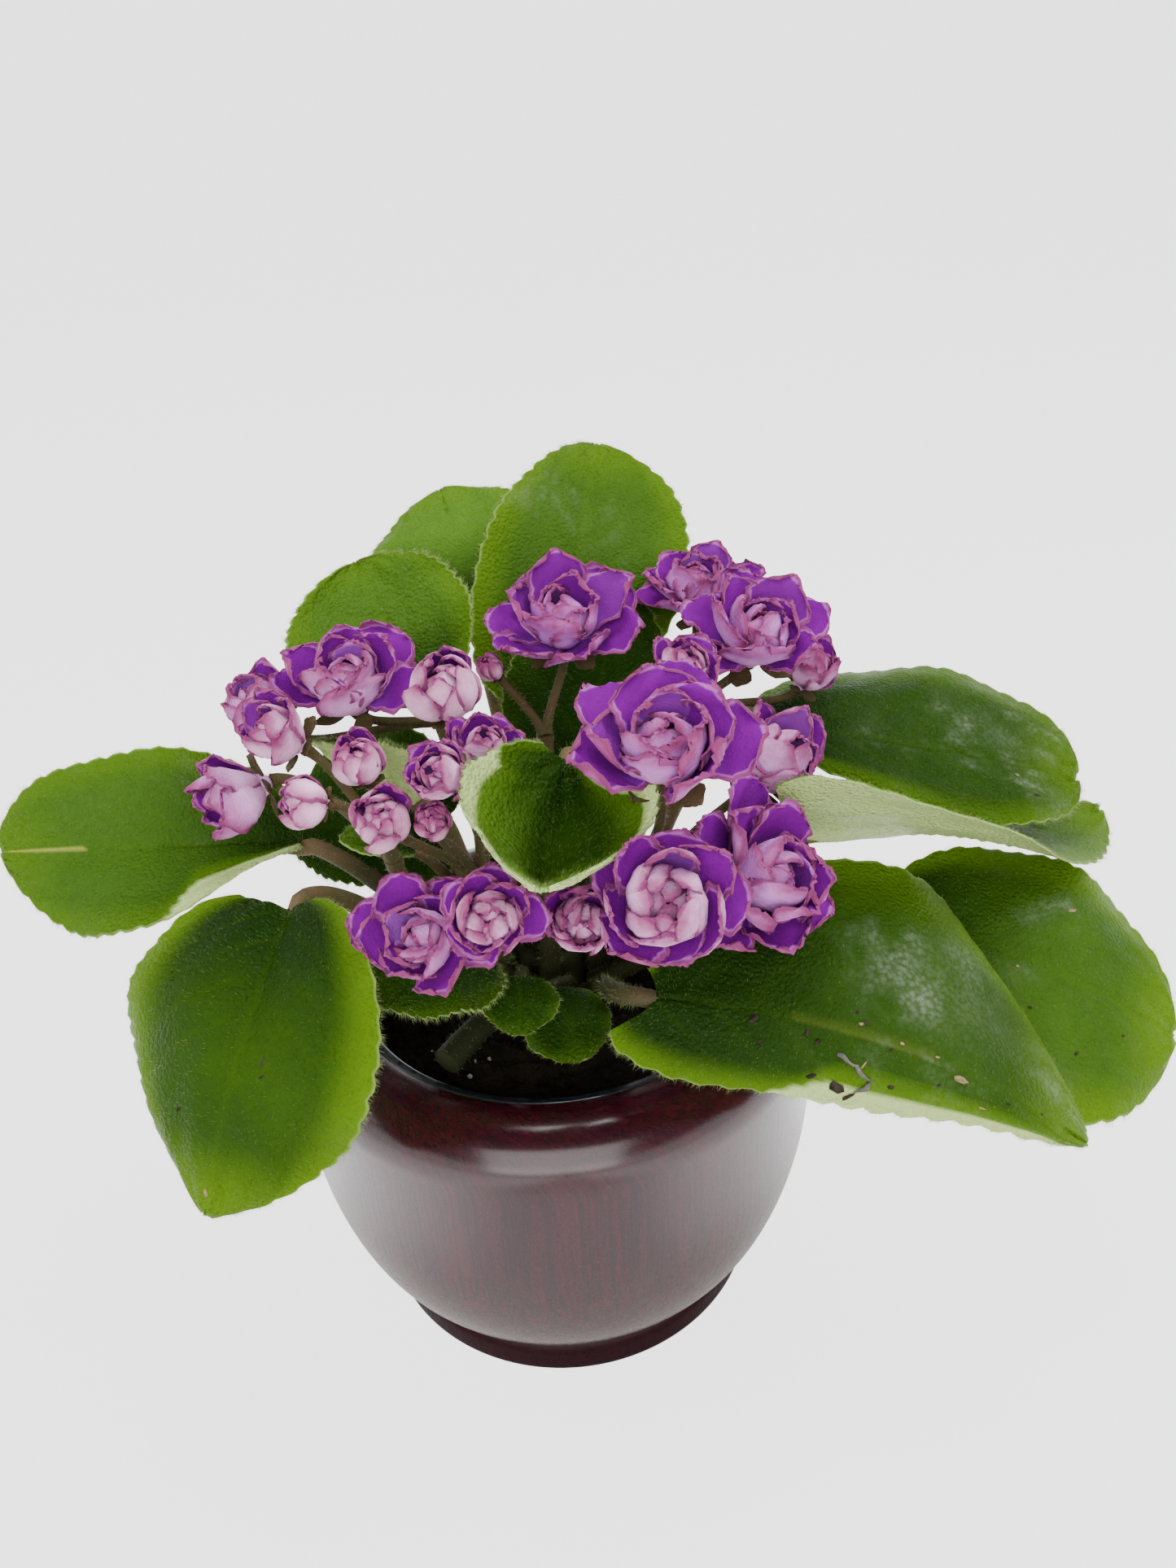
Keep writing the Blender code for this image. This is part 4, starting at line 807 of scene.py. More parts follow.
def petal_ring(radius, ring, draw, turn, height, rows, columns, thickness, depth=0.0, fold=0):
    """Closed petals of one ring, and their masks, in the bloom's own frame.

    A petal's middle line leaves the core at its first slope from the axis and turns evenly to
    its last, which folds up and inward on the bloom's lower side. Its width swells to the widest at
    six tenths and rounds off. Across, it bends in an arc toward the axis, with one edge over its
    neighbour and the other under, and its rim ruffles in waves that grow toward the edge.
    """
    count, length, width, slope0, slope1, cup, ruffle = ring
    jitter = draw.uniform(-1, 1, (10, count, 1, 1))
    s = np.linspace(0, 0.985, rows)[None, :, None]
    v = np.sin(np.linspace(-1, 1, columns) * math.pi / 2)[None, None, :]
    azimuth = turn + 2 * math.pi * (np.arange(count)[:, None, None] + 0.13 * jitter[5]) / count
    length = radius * length * (0.97 + 0.13 * jitter[0])
    half = 0.5 * radius * width * (1 + 0.16 * jitter[1])
    lean = np.sin(azimuth) * (1 if slope1 > 0 else 0.35)
    near = fold * np.minimum(lean, 0)
    turned = TIP_SIDE * np.maximum(lean, 0) + near
    length = length * (1 + NEAR_SHORTER * near)
    slope0 = np.radians(slope0 + 6 * jitter[2] - ROOT_SIDE * np.maximum(lean, 0) + ROOT_FOLD * near)
    slope = np.radians(slope1 + 20 * jitter[3] + turned) - slope0
    along = s * (1 - 0.11 * v**2)
    theta = slope0 + slope * along
    out = CORE_SHARE * radius * 0.9 + length * (np.cos(slope0) - np.cos(theta)) / slope
    high = height + length * (np.sin(theta) - np.sin(slope0)) / slope
    swell = 0.40 + 0.60 * np.sin(math.pi / 2 * np.clip(s / 0.6, 0, 1))
    ending = np.sqrt(np.clip(1 - (np.clip(s - 0.6, 0, 1) / 0.4) ** 2.7, 0.015, 1))
    notch = 1 + 0.05 * np.sin(15 * s + 6 * jitter[4]) + 0.03 * np.sin(33 * s + 9 * jitter[5])
    half = half * swell * ending * notch
    bend = np.radians(cup * (1 + 0.15 * jitter[6]))
    side = half * np.sin(bend * v) / bend
    inward = half * (1 - np.cos(bend * v)) / bend
    edge = np.abs(v) ** 3 * s + s**6 * (1 - v**2)
    wave = np.sin(8.0 * s * (1.2 + 0.4 * jitter[7]) + 2.6 * v + 6 * jitter[8])
    wave = wave + 0.50 * np.sin(23 * s + 11 * v + 9 * jitter[9])
    crease = np.sin(9 * v + 5 * jitter[6] + 3 * s) * np.sin(math.pi * s) * (1 - v**2)
    inward = inward + ruffle * radius * edge * wave + OVERLAP * side + 0.012 * radius * crease
    across = -np.cos(theta) * inward
    flat = np.maximum(out + across, 0.15)
    middle = np.stack([
        flat * np.cos(azimuth) - side * np.sin(azimuth),
        flat * np.sin(azimuth) + side * np.cos(azimuth),
        high + np.sin(theta) * inward], -1)
    inner = unit(np.cross(np.gradient(middle, axis=1), np.gradient(middle, axis=2)))
    thick = thickness * (0.45 + 0.75 * (1 - np.abs(v) ** 3) * (1 - 0.5 * s))[..., None]
    faces = many(sheet_faces(rows, columns), count, 2 * rows * columns)
    points = np.stack([middle + inner * thick / 2, middle - inner * thick / 2], axis=1)
    rim = np.minimum(half * (1 - np.abs(v)), length * (1 - s) * 0.9) / 3
    lot = 0.4 * draw.random((count, 1, 1)) + depth
    face_mask = np.stack(np.broadcast_arrays(rim, 0.0, lot, s + 0 * v), -1)
    back_mask = np.stack(np.broadcast_arrays(rim, 1.0, lot, s + 0 * v), -1)
    return points, [faces], 0, np.stack([face_mask, back_mask], axis=1)


def petal_fringe(points, rows, columns, count, draw):
    """Short glandular hairs out of the rims of a ring's petals."""
    middle = points.mean(axis=1).reshape(-1, rows, columns, 3)
    petal = draw.integers(0, len(middle), count)
    row = draw.uniform(rows * 0.35, rows - 1.01, count)
    low, part = row.astype(int), (row % 1)[:, None]
    edge = np.where(draw.random(count) < 0.5, 0, columns - 1)
    next_in = np.where(edge == 0, 1, columns - 2)
    root = middle[petal, low, edge] * (1 - part) + middle[petal, low + 1, edge] * part
    out = unit(middle[petal, low, edge] - middle[petal, low, next_in])
    ahead = unit(middle[petal, low + 1, edge] - middle[petal, low, edge])
    way = out + 0.4 * ahead + 0.45 * draw.normal(size=(count, 3))
    points, faces, _, _ = hairs(root, way, draw.uniform(0.25, 0.65, count), RIM_HAIR_WIDTH)
    return points, faces, 2, None


def anthers(core):
    """Two pale brown pollen sacs side by side on a short stalk, in the middle of a bloom."""
    parts = []
    for side in (-1, 1):
        foot = np.array([side * 0.2 * core, 0, 0.9 * core])
        head = np.array([side * 0.45 * core, 0.1, 1.9 * core])
        path, slope = bezier(foot, foot + (0, 0, 0.4 * core), head - (0, 0, 0.3 * core), head, 8)
        radii = core * np.array([0.10, 0.10, 0.12, 0.20, 0.34, 0.40, 0.32, 0.12])
        parts.append(tube(path, slope, radii, 10, 3))
    return parts


def bloom_parts(radius, rings, seed, settings, fold):
    """Rings of petals with fringed rims, a calyx below, a core and, in open blooms, anthers."""
    draw = np.random.default_rng(seed)
    storey = max(0.8, 0.075 * radius) * 0.75
    thickness = settings.thickness / METRES * (0.75 + 0.25 * radius / 20)
    share = 1 if radius > SMALL_BLOOM else 0.72
    rows, columns = int(settings.rows * share), int(settings.columns * share) // 2 * 2 + 1
    parts = []
    for level, ring in enumerate(rings):
        turn = math.pi / 5 * (level % 2) + 0.2 * draw.uniform(-1, 1)
        depth = 0.6 * level / (len(rings) - 1)
        petals = petal_ring(
            radius, ring, draw, turn, level * storey, rows, columns, thickness, depth, fold)
        count = int(settings.fringe * ring[0] * radius / 20)
        parts += [petals, petal_fringe(petals[0], rows, columns, count, draw)]
    core = CORE_SHARE * radius
    if rings is OPEN:
        parts += anthers(core)
    knob = lathe(core * np.array(KNOB), 16)
    knob[3][:] = KNOB_MASK
    parts.append(knob)
    points, faces, _, mask = petal_ring(radius, CALYX, draw, 0.3, -0.45 * core, 7, 5, 0.7)
    parts.append((points, faces, 1, mask))
    return parts


def placed(parts, radius, facing, centre, drop):
    """The parts turned to face their way, with the bloom's middle at the centre."""
    turn = frame_of(facing)
    return [
        ((np.reshape(points, (-1, 3)) - (0, 0, drop * radius)) @ turn + centre, faces, kind, mask)
        for points, faces, kind, mask in parts]


# Flower stems


def carried(stem):
    """Where each flower stalk of a stem ends, which way it points and how wide its calyx is."""
    ends = []
    for centre, facing, radius, _, owner, _, _, _ in BLOOMS.values():
        if owner == stem:
            depth = (BLOOM_DROP + 0.9 * CORE_SHARE) * radius + GAP
            ends.append((np.asarray(centre) - unit(facing) * depth, unit(facing), 0.13 * radius))
    for centre, facing, radius, length, owner in BUDS.values():
        if owner == stem:
            depth = 0.5 * length + GAP
            ends.append((np.asarray(centre) - unit(facing) * depth, unit(facing), 0.4 * radius))
    return ends


def stem_tubes(key):
    """Paths and radii of a main stalk and of a stalk from its fork to each bloom."""
    _, azimuth, fork = STEMS[key]
    out = outward(azimuth)
    root = out * STEM_RING + (0, 0, CROWN_TOP + GAP)
    fork = np.asarray(fork, float)
    reach = np.linalg.norm(fork - root)
    path, slope = bezier(root, root + (0, 0, 0.4 * reach), fork - (0, 0, 0.3 * reach), fork, 24)
    radii = np.linspace(STEM_ROOT_RADIUS, STEM_FORK_RADIUS, 24)
    swell = KNOB_RADIUS * 0.85 - STEM_FORK_RADIUS
    radii[-6:] = STEM_FORK_RADIUS + swell * np.linspace(0, 1, 6) ** 2
    tubes = [(path, slope, radii)]
    last = slope[-1]
    for end, facing, calyx in carried(key):
        gap = np.linalg.norm(end - fork)
        away = unit(unit(end - fork) + last * 0.5)
        start = fork + away * 0.6
        path, bend = bezier(start, start + away * gap * 0.35, end - facing * gap * 0.25, end, 20)
        radii = np.full(20, PEDICEL_RADIUS)
        radii[:4] = [1.9, 1.6, 1.35, 1.2]
        radii[-5:] = PEDICEL_RADIUS + (max(calyx, 1.3) - PEDICEL_RADIUS) * np.linspace(0, 1, 5) ** 2
        tubes.append((path, bend, radii))
    return tubes


# Pots and soil


def bowl(z):
    """Outside radius of the bowl: a superellipse from the neck to the belly."""
    t = np.clip((BELLY_HEIGHT - z) / (BELLY_HEIGHT - FOOT_HEIGHT), 0, 1)
    share = (1 - t**BELLY_ROUNDNESS) ** (1 / BELLY_ROUNDNESS)
    return NECK_RADIUS + (POT_RADIUS - NECK_RADIUS) * share


def pot_profile():
    """Outer pot from the middle of its underside, up the outside and down the inside."""
    outside = [(0, 0.6), (FOOT_RADIUS - 8, 0.6), (FOOT_RADIUS - 7, 0), (FOOT_RADIUS - 1.2, 0)]
    outside += [(FOOT_RADIUS, 1.2), (FOOT_RADIUS - 0.3, 8.0)]
    outside += [(FOOT_RADIUS - 2.2, FOOT_HEIGHT - 0.8), (NECK_RADIUS - 0.2, FOOT_HEIGHT)]
    outside = fillet(outside, {4: 1.0, 5: 1.8, 6: 1.2})
    share = 1 - np.cos(np.linspace(0.12, 1, 30) * math.pi / 2)
    climb = FOOT_HEIGHT + (BELLY_HEIGHT - FOOT_HEIGHT) * share
    outside += [(bowl(z), z) for z in climb]
    centre = POT_HEIGHT - SHOULDER_RADIUS
    outside += [(POT_RADIUS, z) for z in np.linspace(BELLY_HEIGHT + 4, centre - 4, 5)]
    angle = np.radians(np.linspace(0, 112, 26))
    across = POT_RADIUS - SHOULDER_RADIUS + SHOULDER_RADIUS * np.cos(angle)
    outside += list(zip(across, centre + SHOULDER_RADIUS * np.sin(angle)))
    inside = [(THROAT_RADIUS, POT_HEIGHT - 2.6), (THROAT_RADIUS, 87), (POT_RADIUS - POT_WALL, 72)]
    inside += [(bowl(z) - POT_WALL, z) for z in (BELLY_HEIGHT, 48, 36, 26, 19)]
    inside += [(NECK_RADIUS - 5, POT_FLOOR), (0, POT_FLOOR)]
    return outside + fillet(inside, {0: 0.9})


def nursery_radius(z):
    """Outside radius of the tapered wall below the rim band."""
    top = NURSERY_TOP - NURSERY_BAND
    part = (z - NURSERY_BASE) / (top - NURSERY_BASE)
    return NURSERY_BASE_RADIUS + (NURSERY_RADIUS - 2 - NURSERY_BASE_RADIUS) * part


def nursery_profile():
    """Nursery pot from the middle of its underside, up its wall and rim band and down inside."""
    band = NURSERY_TOP - NURSERY_BAND
    profile = [(0, NURSERY_BASE), (NURSERY_BASE_RADIUS - 1, NURSERY_BASE)]
    profile += [(nursery_radius(NURSERY_BASE + 1), NURSERY_BASE + 1), (nursery_radius(band), band)]
    profile += [(NURSERY_RADIUS - 0.2, band), (NURSERY_RADIUS, NURSERY_TOP - 0.7)]
    profile += [(NURSERY_RADIUS - 0.7, NURSERY_TOP), (NURSERY_RADIUS - 2.6, NURSERY_TOP - 0.3)]
    profile += [(NURSERY_RADIUS - 3.6, NURSERY_TOP - 1.6)]
    floor = NURSERY_BASE + 2
    profile += [(nursery_radius(band) - NURSERY_WALL, band - 1)]
    profile += [(nursery_radius(floor) - NURSERY_WALL, floor), (0, floor)]
    return fillet(profile, {4: 0.4, 5: 0.6, 6: 0.4, 7: 0.5, 8: 0.8, 9: 0.8})


def soil_height(radius, z, angle):
    """Rise of the soil's top over its flat level: broad bumps with fine crumbs on them."""
    x, y = radius * np.cos(angle), radius * np.sin(angle)
    bumps = 0.7 * (np.sin(5 * angle + radius) + np.sin(9 * angle - 0.7 * radius))
    bumps = bumps + 1.5 * np.cos(0.06 * radius)
    fine = np.sin(1.3 * x + 2 * np.sin(0.9 * y)) * np.sin(1.1 * y + 2 * np.sin(1.0 * x))
    finer = np.sin(3.1 * x + 1.7 * y) * np.sin(2.7 * y - 2.1 * x)
    return np.where(np.asarray(z) > SOIL_TOP - 2, bumps + 0.55 * fine + 0.3 * finer, 0)


def crumb_shapes(centres, sizes, draw):
    """Small closed lumps: an icosahedron for each, its corners pushed in or out."""
    t = (1 + math.sqrt(5)) / 2
    corners = np.array([
        (-1, t, 0), (1, t, 0), (-1, -t, 0), (1, -t, 0), (0, -1, t), (0, 1, t),
        (0, -1, -t), (0, 1, -t), (t, 0, -1), (t, 0, 1), (-t, 0, -1), (-t, 0, 1)]) / math.hypot(1, t)
    faces = np.array([
        (0, 11, 5), (0, 5, 1), (0, 1, 7), (0, 7, 10), (0, 10, 11), (1, 5, 9), (5, 11, 4),
        (11, 10, 2), (10, 7, 6), (7, 1, 8), (3, 9, 4), (3, 4, 2), (3, 2, 6), (3, 6, 8),
        (3, 8, 9), (4, 9, 5), (2, 4, 11), (6, 2, 10), (8, 6, 7), (9, 8, 1)])
    count = len(centres)
    push = draw.uniform(0.7, 1.25, (count, 12, 1))
    stretch = draw.uniform(0.7, 1.3, (count, 1, 3))
    points = centres[:, None] + corners[None] * push * stretch * sizes[:, None, None]
    return points, [many(faces, count, 12)]


# Materials


class Shades:
    """Short ways to add nodes to a shader tree. Inputs are values or other nodes' sockets."""

    def __init__(self, tree):
        self.tree = tree

    def add(self, kind, inputs=(), **settings):
        made = self.tree.nodes.new("ShaderNode" + kind)
        for key, value in settings.items():
            setattr(made, key, value)
        for key, value in dict(inputs).items():
            if isinstance(value, bpy.types.NodeSocket):
                self.tree.links.new(value, made.inputs[key])
            else:
                made.inputs[key].default_value = value
        return made

    def math(self, operation, *values):
        return self.add("Math", dict(enumerate(values)), operation=operation).outputs[0]

    def times(self, first, *others):
        for other in others:
            first = self.math("MULTIPLY", first, other)
        return first

    def line(self, value, slope, start):
        return self.math("MULTIPLY_ADD", value, slope, start)

    def above(self, value, low, high):
        """0 under the low value, 1 over the high one, eased between them."""
        ends = {"Value": value, "From Min": low, "From Max": high}
        return self.add("MapRange", ends, interpolation_type="SMOOTHSTEP").outputs["Result"]

    def below(self, value, low, high):
        return self.math("SUBTRACT", 1.0, self.above(value, low, high))

    def blend(self, factor, first, second):
        """A colour between two."""
        first, second = (
            c if isinstance(c, bpy.types.NodeSocket) else (*c, 1) for c in (first, second))
        return self.add("Mix", {0: factor, 6: first, 7: second}, data_type="RGBA").outputs[2]


class Skin(Shades):
    """A Principled material with plain values on its own sockets, and its object coordinates."""

    def __init__(self, name, **sockets):
        self.material = bpy.data.materials.new(name)
        self.material.use_nodes = True
        super().__init__(self.material.node_tree)
        self.shader = self.tree.nodes["Principled BSDF"]
        for key, value in sockets.items():
            self.shader.inputs[key.replace("_", " ")].default_value = value
        self.place = self.add("TexCoord").outputs["Object"]

    def group(self, name, builder, inputs):
        tree = bpy.data.node_groups.get(name) or builder(name)
        return self.add("Group", {"Vector": self.place, **inputs}, node_tree=tree).outputs

    def mottle(self, scale, detail, contrast, **place):
        inputs = {"Scale": scale, "Detail": detail, "Contrast": contrast, **place}
        return self.group("Mottle", mottle_group, inputs)["Mask"]

    def velvet(self, scale, soft):
        made = self.group("Velvet", velvet_group, {"Scale": scale, "Soft": soft})
        return made["Height"], made["Speck"]

    def masks(self, name="masks"):
        """The four numbers that a piece stores at its points."""
        stored = self.add("Attribute", attribute_name=name)
        parts = self.add("SeparateColor", {"Color": stored.outputs["Color"]})
        return (*parts.outputs[:3], stored.outputs["Alpha"])

    def axis(self, name):
        return self.add("SeparateXYZ", {"Vector": self.place}).outputs[name]

    def feed(self, name, socket):
        self.tree.links.new(socket, self.shader.inputs[name])

    def rough(self, value, low, high):
        ends = {"Value": value, "From Min": 0, "From Max": 1, "To Min": low, "To Max": high}
        self.feed("Roughness", self.add("MapRange", ends).outputs["Result"])

    def bump(self, height, strength, distance):
        made = self.add("Bump", {"Height": height, "Strength": strength, "Distance": distance})
        self.feed("Normal", made.outputs["Normal"])


def new_group(name, inputs, outputs):
    """An empty shader group with named sockets, its given values and its result's inputs."""
    tree = bpy.data.node_groups.new(name, "ShaderNodeTree")
    for title, default in inputs.items():
        kind = "NodeSocketVector" if isinstance(default, tuple) else "NodeSocketFloat"
        socket = tree.interface.new_socket(title, in_out="INPUT", socket_type=kind)
        socket.default_value = default
    for title in outputs:
        tree.interface.new_socket(title, in_out="OUTPUT", socket_type="NodeSocketFloat")
    given, result = tree.nodes.new("NodeGroupInput"), tree.nodes.new("NodeGroupOutput")
    return tree, Shades(tree), given.outputs, result.inputs


def mottle_group(name):
    """Soft noise, as a mask that varies a colour over a surface."""
    tree, shades, given, result = new_group(
        name, {"Vector": (0, 0, 0), "Scale": 60.0, "Detail": 4.0, "Contrast": 0.5}, ["Mask"])
    noise = shades.add("TexNoise", {
        **{key: given[key] for key in ("Vector", "Scale", "Detail")}, "Roughness": 0.6})
    half = shades.times(given["Contrast"], 0.5)
    low, high = shades.math("SUBTRACT", 0.5, half), shades.math("ADD", 0.5, half)
    tree.links.new(shades.above(noise.outputs["Fac"], low, high), result["Mask"])
    return tree


def velvet_group(name):
    """Fine raised grain of a downy surface: small rounded cells over finer noise."""
    tree, shades, given, result = new_group(
        name, {"Vector": (0, 0, 0), "Scale": 900.0, "Soft": 0.5}, ["Height", "Speck"])
    place = {key: given[key] for key in ("Vector", "Scale")}
    cells = shades.add("TexVoronoi", place, feature="F1").outputs["Distance"]
    noise = shades.add("TexNoise", {**place, "Detail": 3.0}).outputs["Fac"]
    soft = shades.times(shades.math("SUBTRACT", 1.0, cells), given["Soft"])
    tree.links.new(shades.math("ADD", soft, noise), result["Height"])
    tree.links.new(shades.above(noise, 0.60, 0.75), result["Speck"])
    return tree


def leaf_material(settings):
    """Green that is deep in the middle and fresh at the margin, pale below, with veins and down."""
    skin = Skin("violet_leaf", Specular_IOR_Level=0.035, Coat_Roughness=0.30)
    rim, under, vein, along = skin.masks()
    light, yellow, down, cream = skin.masks("tone")
    soft, fine = skin.mottle(45, 3, 0.7), skin.mottle(260, 4, 0.9)
    height, speck = skin.velvet(1100, 0.6)
    # Lightness from tone lifts the green: partly the leaf's own tone, partly painted shade on
    # leaves that lie under others.
    deep = skin.blend(light, settings.deep, (0.066, 0.150, 0.014))
    deep = skin.blend(skin.times(soft, yellow, 0.18), deep, settings.fresh)
    # Painted shade: the blade darkens toward its base, where it lies under the blooms.
    base = skin.times(skin.below(along, 0.05, 0.62), 0.82)
    deep = skin.blend(base, deep, (0.003, 0.015, 0.0006))
    green = skin.blend(skin.times(skin.below(rim, 0.0, 0.42), yellow), deep, settings.fresh)
    green = skin.blend(skin.times(vein, 0.07), green, settings.fresh)
    green = skin.blend(skin.times(fine, 0.18), green, (0.005, 0.022, 0.002))
    green = skin.blend(skin.times(speck, down, 0.30), green, (0.15, 0.24, 0.12))
    pale = skin.blend(skin.times(vein, 0.5), settings.underside, (0.42, 0.50, 0.24))
    pale = skin.blend(skin.times(fine, 0.25), pale, (0.16, 0.25, 0.06))
    shade = skin.blend(under, green, pale)
    edge = skin.times(skin.below(rim, 0.0, 0.03), 0.45)
    shade = skin.blend(edge, shade, (0.26, 0.38, 0.10))
    skin.feed("Base Color", skin.blend(cream, shade, (0.44, 0.40, 0.09)))
    skin.rough(soft, 0.26, 0.52)
    grain = skin.above(skin.velvet(800, 1.0)[0], 0.70, 1.35)
    shine = skin.times(skin.above(soft, 0.38, 0.90), skin.math("SUBTRACT", 1.0, under))
    shine = skin.times(shine, skin.line(grain, 0.38, 0.14), skin.below(light, 0.10, 0.75))
    shine = skin.times(shine, skin.above(down, 0.05, 0.15), skin.above(along, 0.22, 0.50))
    skin.feed("Coat Weight", shine)
    skin.bump(height, 1.0, 0.0006)
    return skin.material


def stalk_material(name, tan, green):
    """Tan and green of a hairy stalk, mottled, with painted shade that darkens it low down among
    the leaves.
    """
    skin = Skin(name, Roughness=0.62, Specular_IOR_Level=0.12)
    height, speck = skin.velvet(1500, 0.5)
    shade = skin.blend(skin.mottle(160, 4, 0.6), tan, green)
    shade = skin.blend(skin.times(speck, 0.25), shade, (0.20, 0.17, 0.11))
    # Painted shade: below 118 to 140 mm high the skin turns near black, as in the shade among the
    # leaves.
    low = skin.times(skin.below(skin.axis("Z"), 0.118, 0.140), 0.88)
    skin.feed("Base Color", skin.blend(low, shade, (0.010, 0.014, 0.004)))
    skin.bump(height, 0.6, 0.0003)
    return skin.material


def petal_material(settings):
    """Violet inside and lilac outside, with a cream margin, dusty tips and a velvet grain."""
    skin = Skin(
        "violet_petal", Roughness=0.60, Specular_IOR_Level=0.02, Subsurface_Weight=0.06,
        Subsurface_Scale=0.0010)
    rim, back, lot, along = skin.masks()
    pale = skin.masks("tone")[0]
    soft, fine = skin.mottle(120, 3, 0.6), skin.mottle(420, 4, 0.8)
    height, speck = skin.velvet(1600, 0.5)
    inside = skin.blend(skin.times(soft, 0.45), settings.violet, (0.20, 0.0, 0.27))
    near_core = skin.times(skin.below(along, 0.05, 0.5), 0.40)
    inside = skin.blend(near_core, inside, (0.28, 0.05, 0.50))
    inner_rings = skin.times(skin.above(lot, 0.45, 0.95), 0.6)
    inside = skin.blend(inner_rings, inside, (0.40, 0.13, 0.58))
    outside = skin.blend(pale, settings.lilac, settings.cream)
    low = skin.times(skin.below(along, 0.25, 0.80), 0.45)
    outside = skin.blend(low, outside, settings.cream)
    tip = skin.times(skin.above(along, 0.40, 0.90), skin.line(soft, 0.75, 0.25), 0.95)
    outside = skin.blend(tip, outside, settings.rose)
    outside = skin.blend(skin.times(fine, 0.14), outside, settings.rose)
    rim = skin.math("ADD", rim, skin.line(fine, -0.16, 0.06))
    flush = skin.times(skin.below(rim, 0.10, 1.15), skin.line(soft, 0.65, 0.35))
    outside = skin.blend(flush, outside, settings.rose)
    band = skin.times(skin.below(rim, 0.34, 0.52), 0.45)
    inside = skin.blend(band, inside, (0.58, 0.20, 0.54))
    shade = skin.blend(back, inside, outside)
    frill = skin.times(skin.below(rim, 0.16, 0.38), 0.85)
    shade = skin.blend(frill, shade, (0.19, 0.034, 0.115))
    skin.feed("Base Color", skin.blend(skin.times(speck, 0.06), shade, (0.60, 0.14, 0.66)))
    skin.bump(height, 0.5, 0.0003)
    return skin.material


def glaze_material(settings):
    """Glossy plastic, red brush strokes over near black: upright on the bowl, slanting above.

    The strokes are noise on the surface's own coordinates, drawn out along the way up.
    """
    skin = Skin("burgundy_pot", Coat_Roughness=0.20, Specular_IOR_Level=0.03)
    travel = skin.masks()[0]
    slant = skin.times(skin.above(travel, 0.95, 1.6), 1.1)
    turn = skin.add("VectorRotate", {"Vector": skin.place, "Axis": (0, 0, 1), "Angle": slant})
    drawn = skin.add("Mapping", {"Vector": turn.outputs[0], "Scale": (1, 1, 0.035)}).outputs[0]
    strokes = skin.mottle(820, 6, 0.36, Vector=drawn)
    broad = skin.mottle(170, 4, 0.6, Vector=drawn)
    fine = skin.mottle(700, 4, 0.8)
    # The foot gets few red strokes and is near black: partly its own darker colour, partly painted
    # shade under the bowl.
    foot = skin.below(travel, 0.20, 0.24)
    share = skin.times(strokes, skin.line(broad, 0.75, 0.25), skin.line(foot, -0.90, 1.0))
    shade = skin.blend(share, settings.ground, settings.burgundy)
    skin.feed("Base Color", skin.blend(skin.times(fine, 0.25), shade, (0.050, 0.003, 0.007)))
    skin.rough(fine, 0.22, 0.38)
    skin.feed("Coat Weight", skin.line(foot, -0.60, 0.75))
    skin.bump(strokes, 0.25, 0.0002)
    return skin.material


def plastic_material(settings):
    """Black injection-moulded plastic with faint dust."""
    skin = Skin("nursery_plastic", Specular_IOR_Level=0.8)
    dust = skin.mottle(220, 6, 0.35)
    skin.feed("Base Color", skin.blend(skin.times(dust, 0.05), settings.plastic, (0.05,) * 3))
    skin.rough(dust, 0.12, 0.26)
    skin.bump(dust, 0.08, 0.0002)
    return skin.material


def soil_material(name, dark, light, scale):
    """Rough crumbly matter mottled in two colours."""
    skin = Skin(name, Roughness=0.9, Specular_IOR_Level=0.06)
    skin.feed("Base Color", skin.blend(skin.mottle(scale, 6, 0.6), dark, light))
    skin.bump(skin.velvet(700, 0.8)[0], 0.9, 0.0008)
    return skin.material


def hair_material(name, light):
    """Shiny hair, in a colour that varies a little."""
    skin = Skin(name, Roughness=0.35, Specular_IOR_Level=0.6)
    dark = tuple(0.75 * c for c in light)
    skin.feed("Base Color", skin.blend(skin.mottle(300, 2, 0.6), dark, light))
    return skin.material


# Operators


class VIOLET_OT_outer_pot(bpy.types.Operator):
    """Adds the round outer pot in brushed burgundy"""

    bl_idname = "violet.outer_pot"
    bl_label = "Outer Pot"

    def execute(self, context):
        settings = context.scene.violet.pot
        parts = [lathe(pot_profile(), settings.sides)]
        make_piece("outer_pot_shell", parts, [glaze_material(settings)], "outer_pot")
        return {"FINISHED"}


class VIOLET_OT_nursery_pot(bpy.types.Operator):
    """Adds the black nursery pot"""

    bl_idname = "violet.nursery_pot"
    bl_label = "Nursery Pot"

    def execute(self, context):
        settings = context.scene.violet.pot
        parts = [lathe(nursery_profile(), settings.sides)]
        make_piece("nursery_pot_shell", parts, [plastic_material(settings)], "nursery_pot")
        return {"FINISHED"}


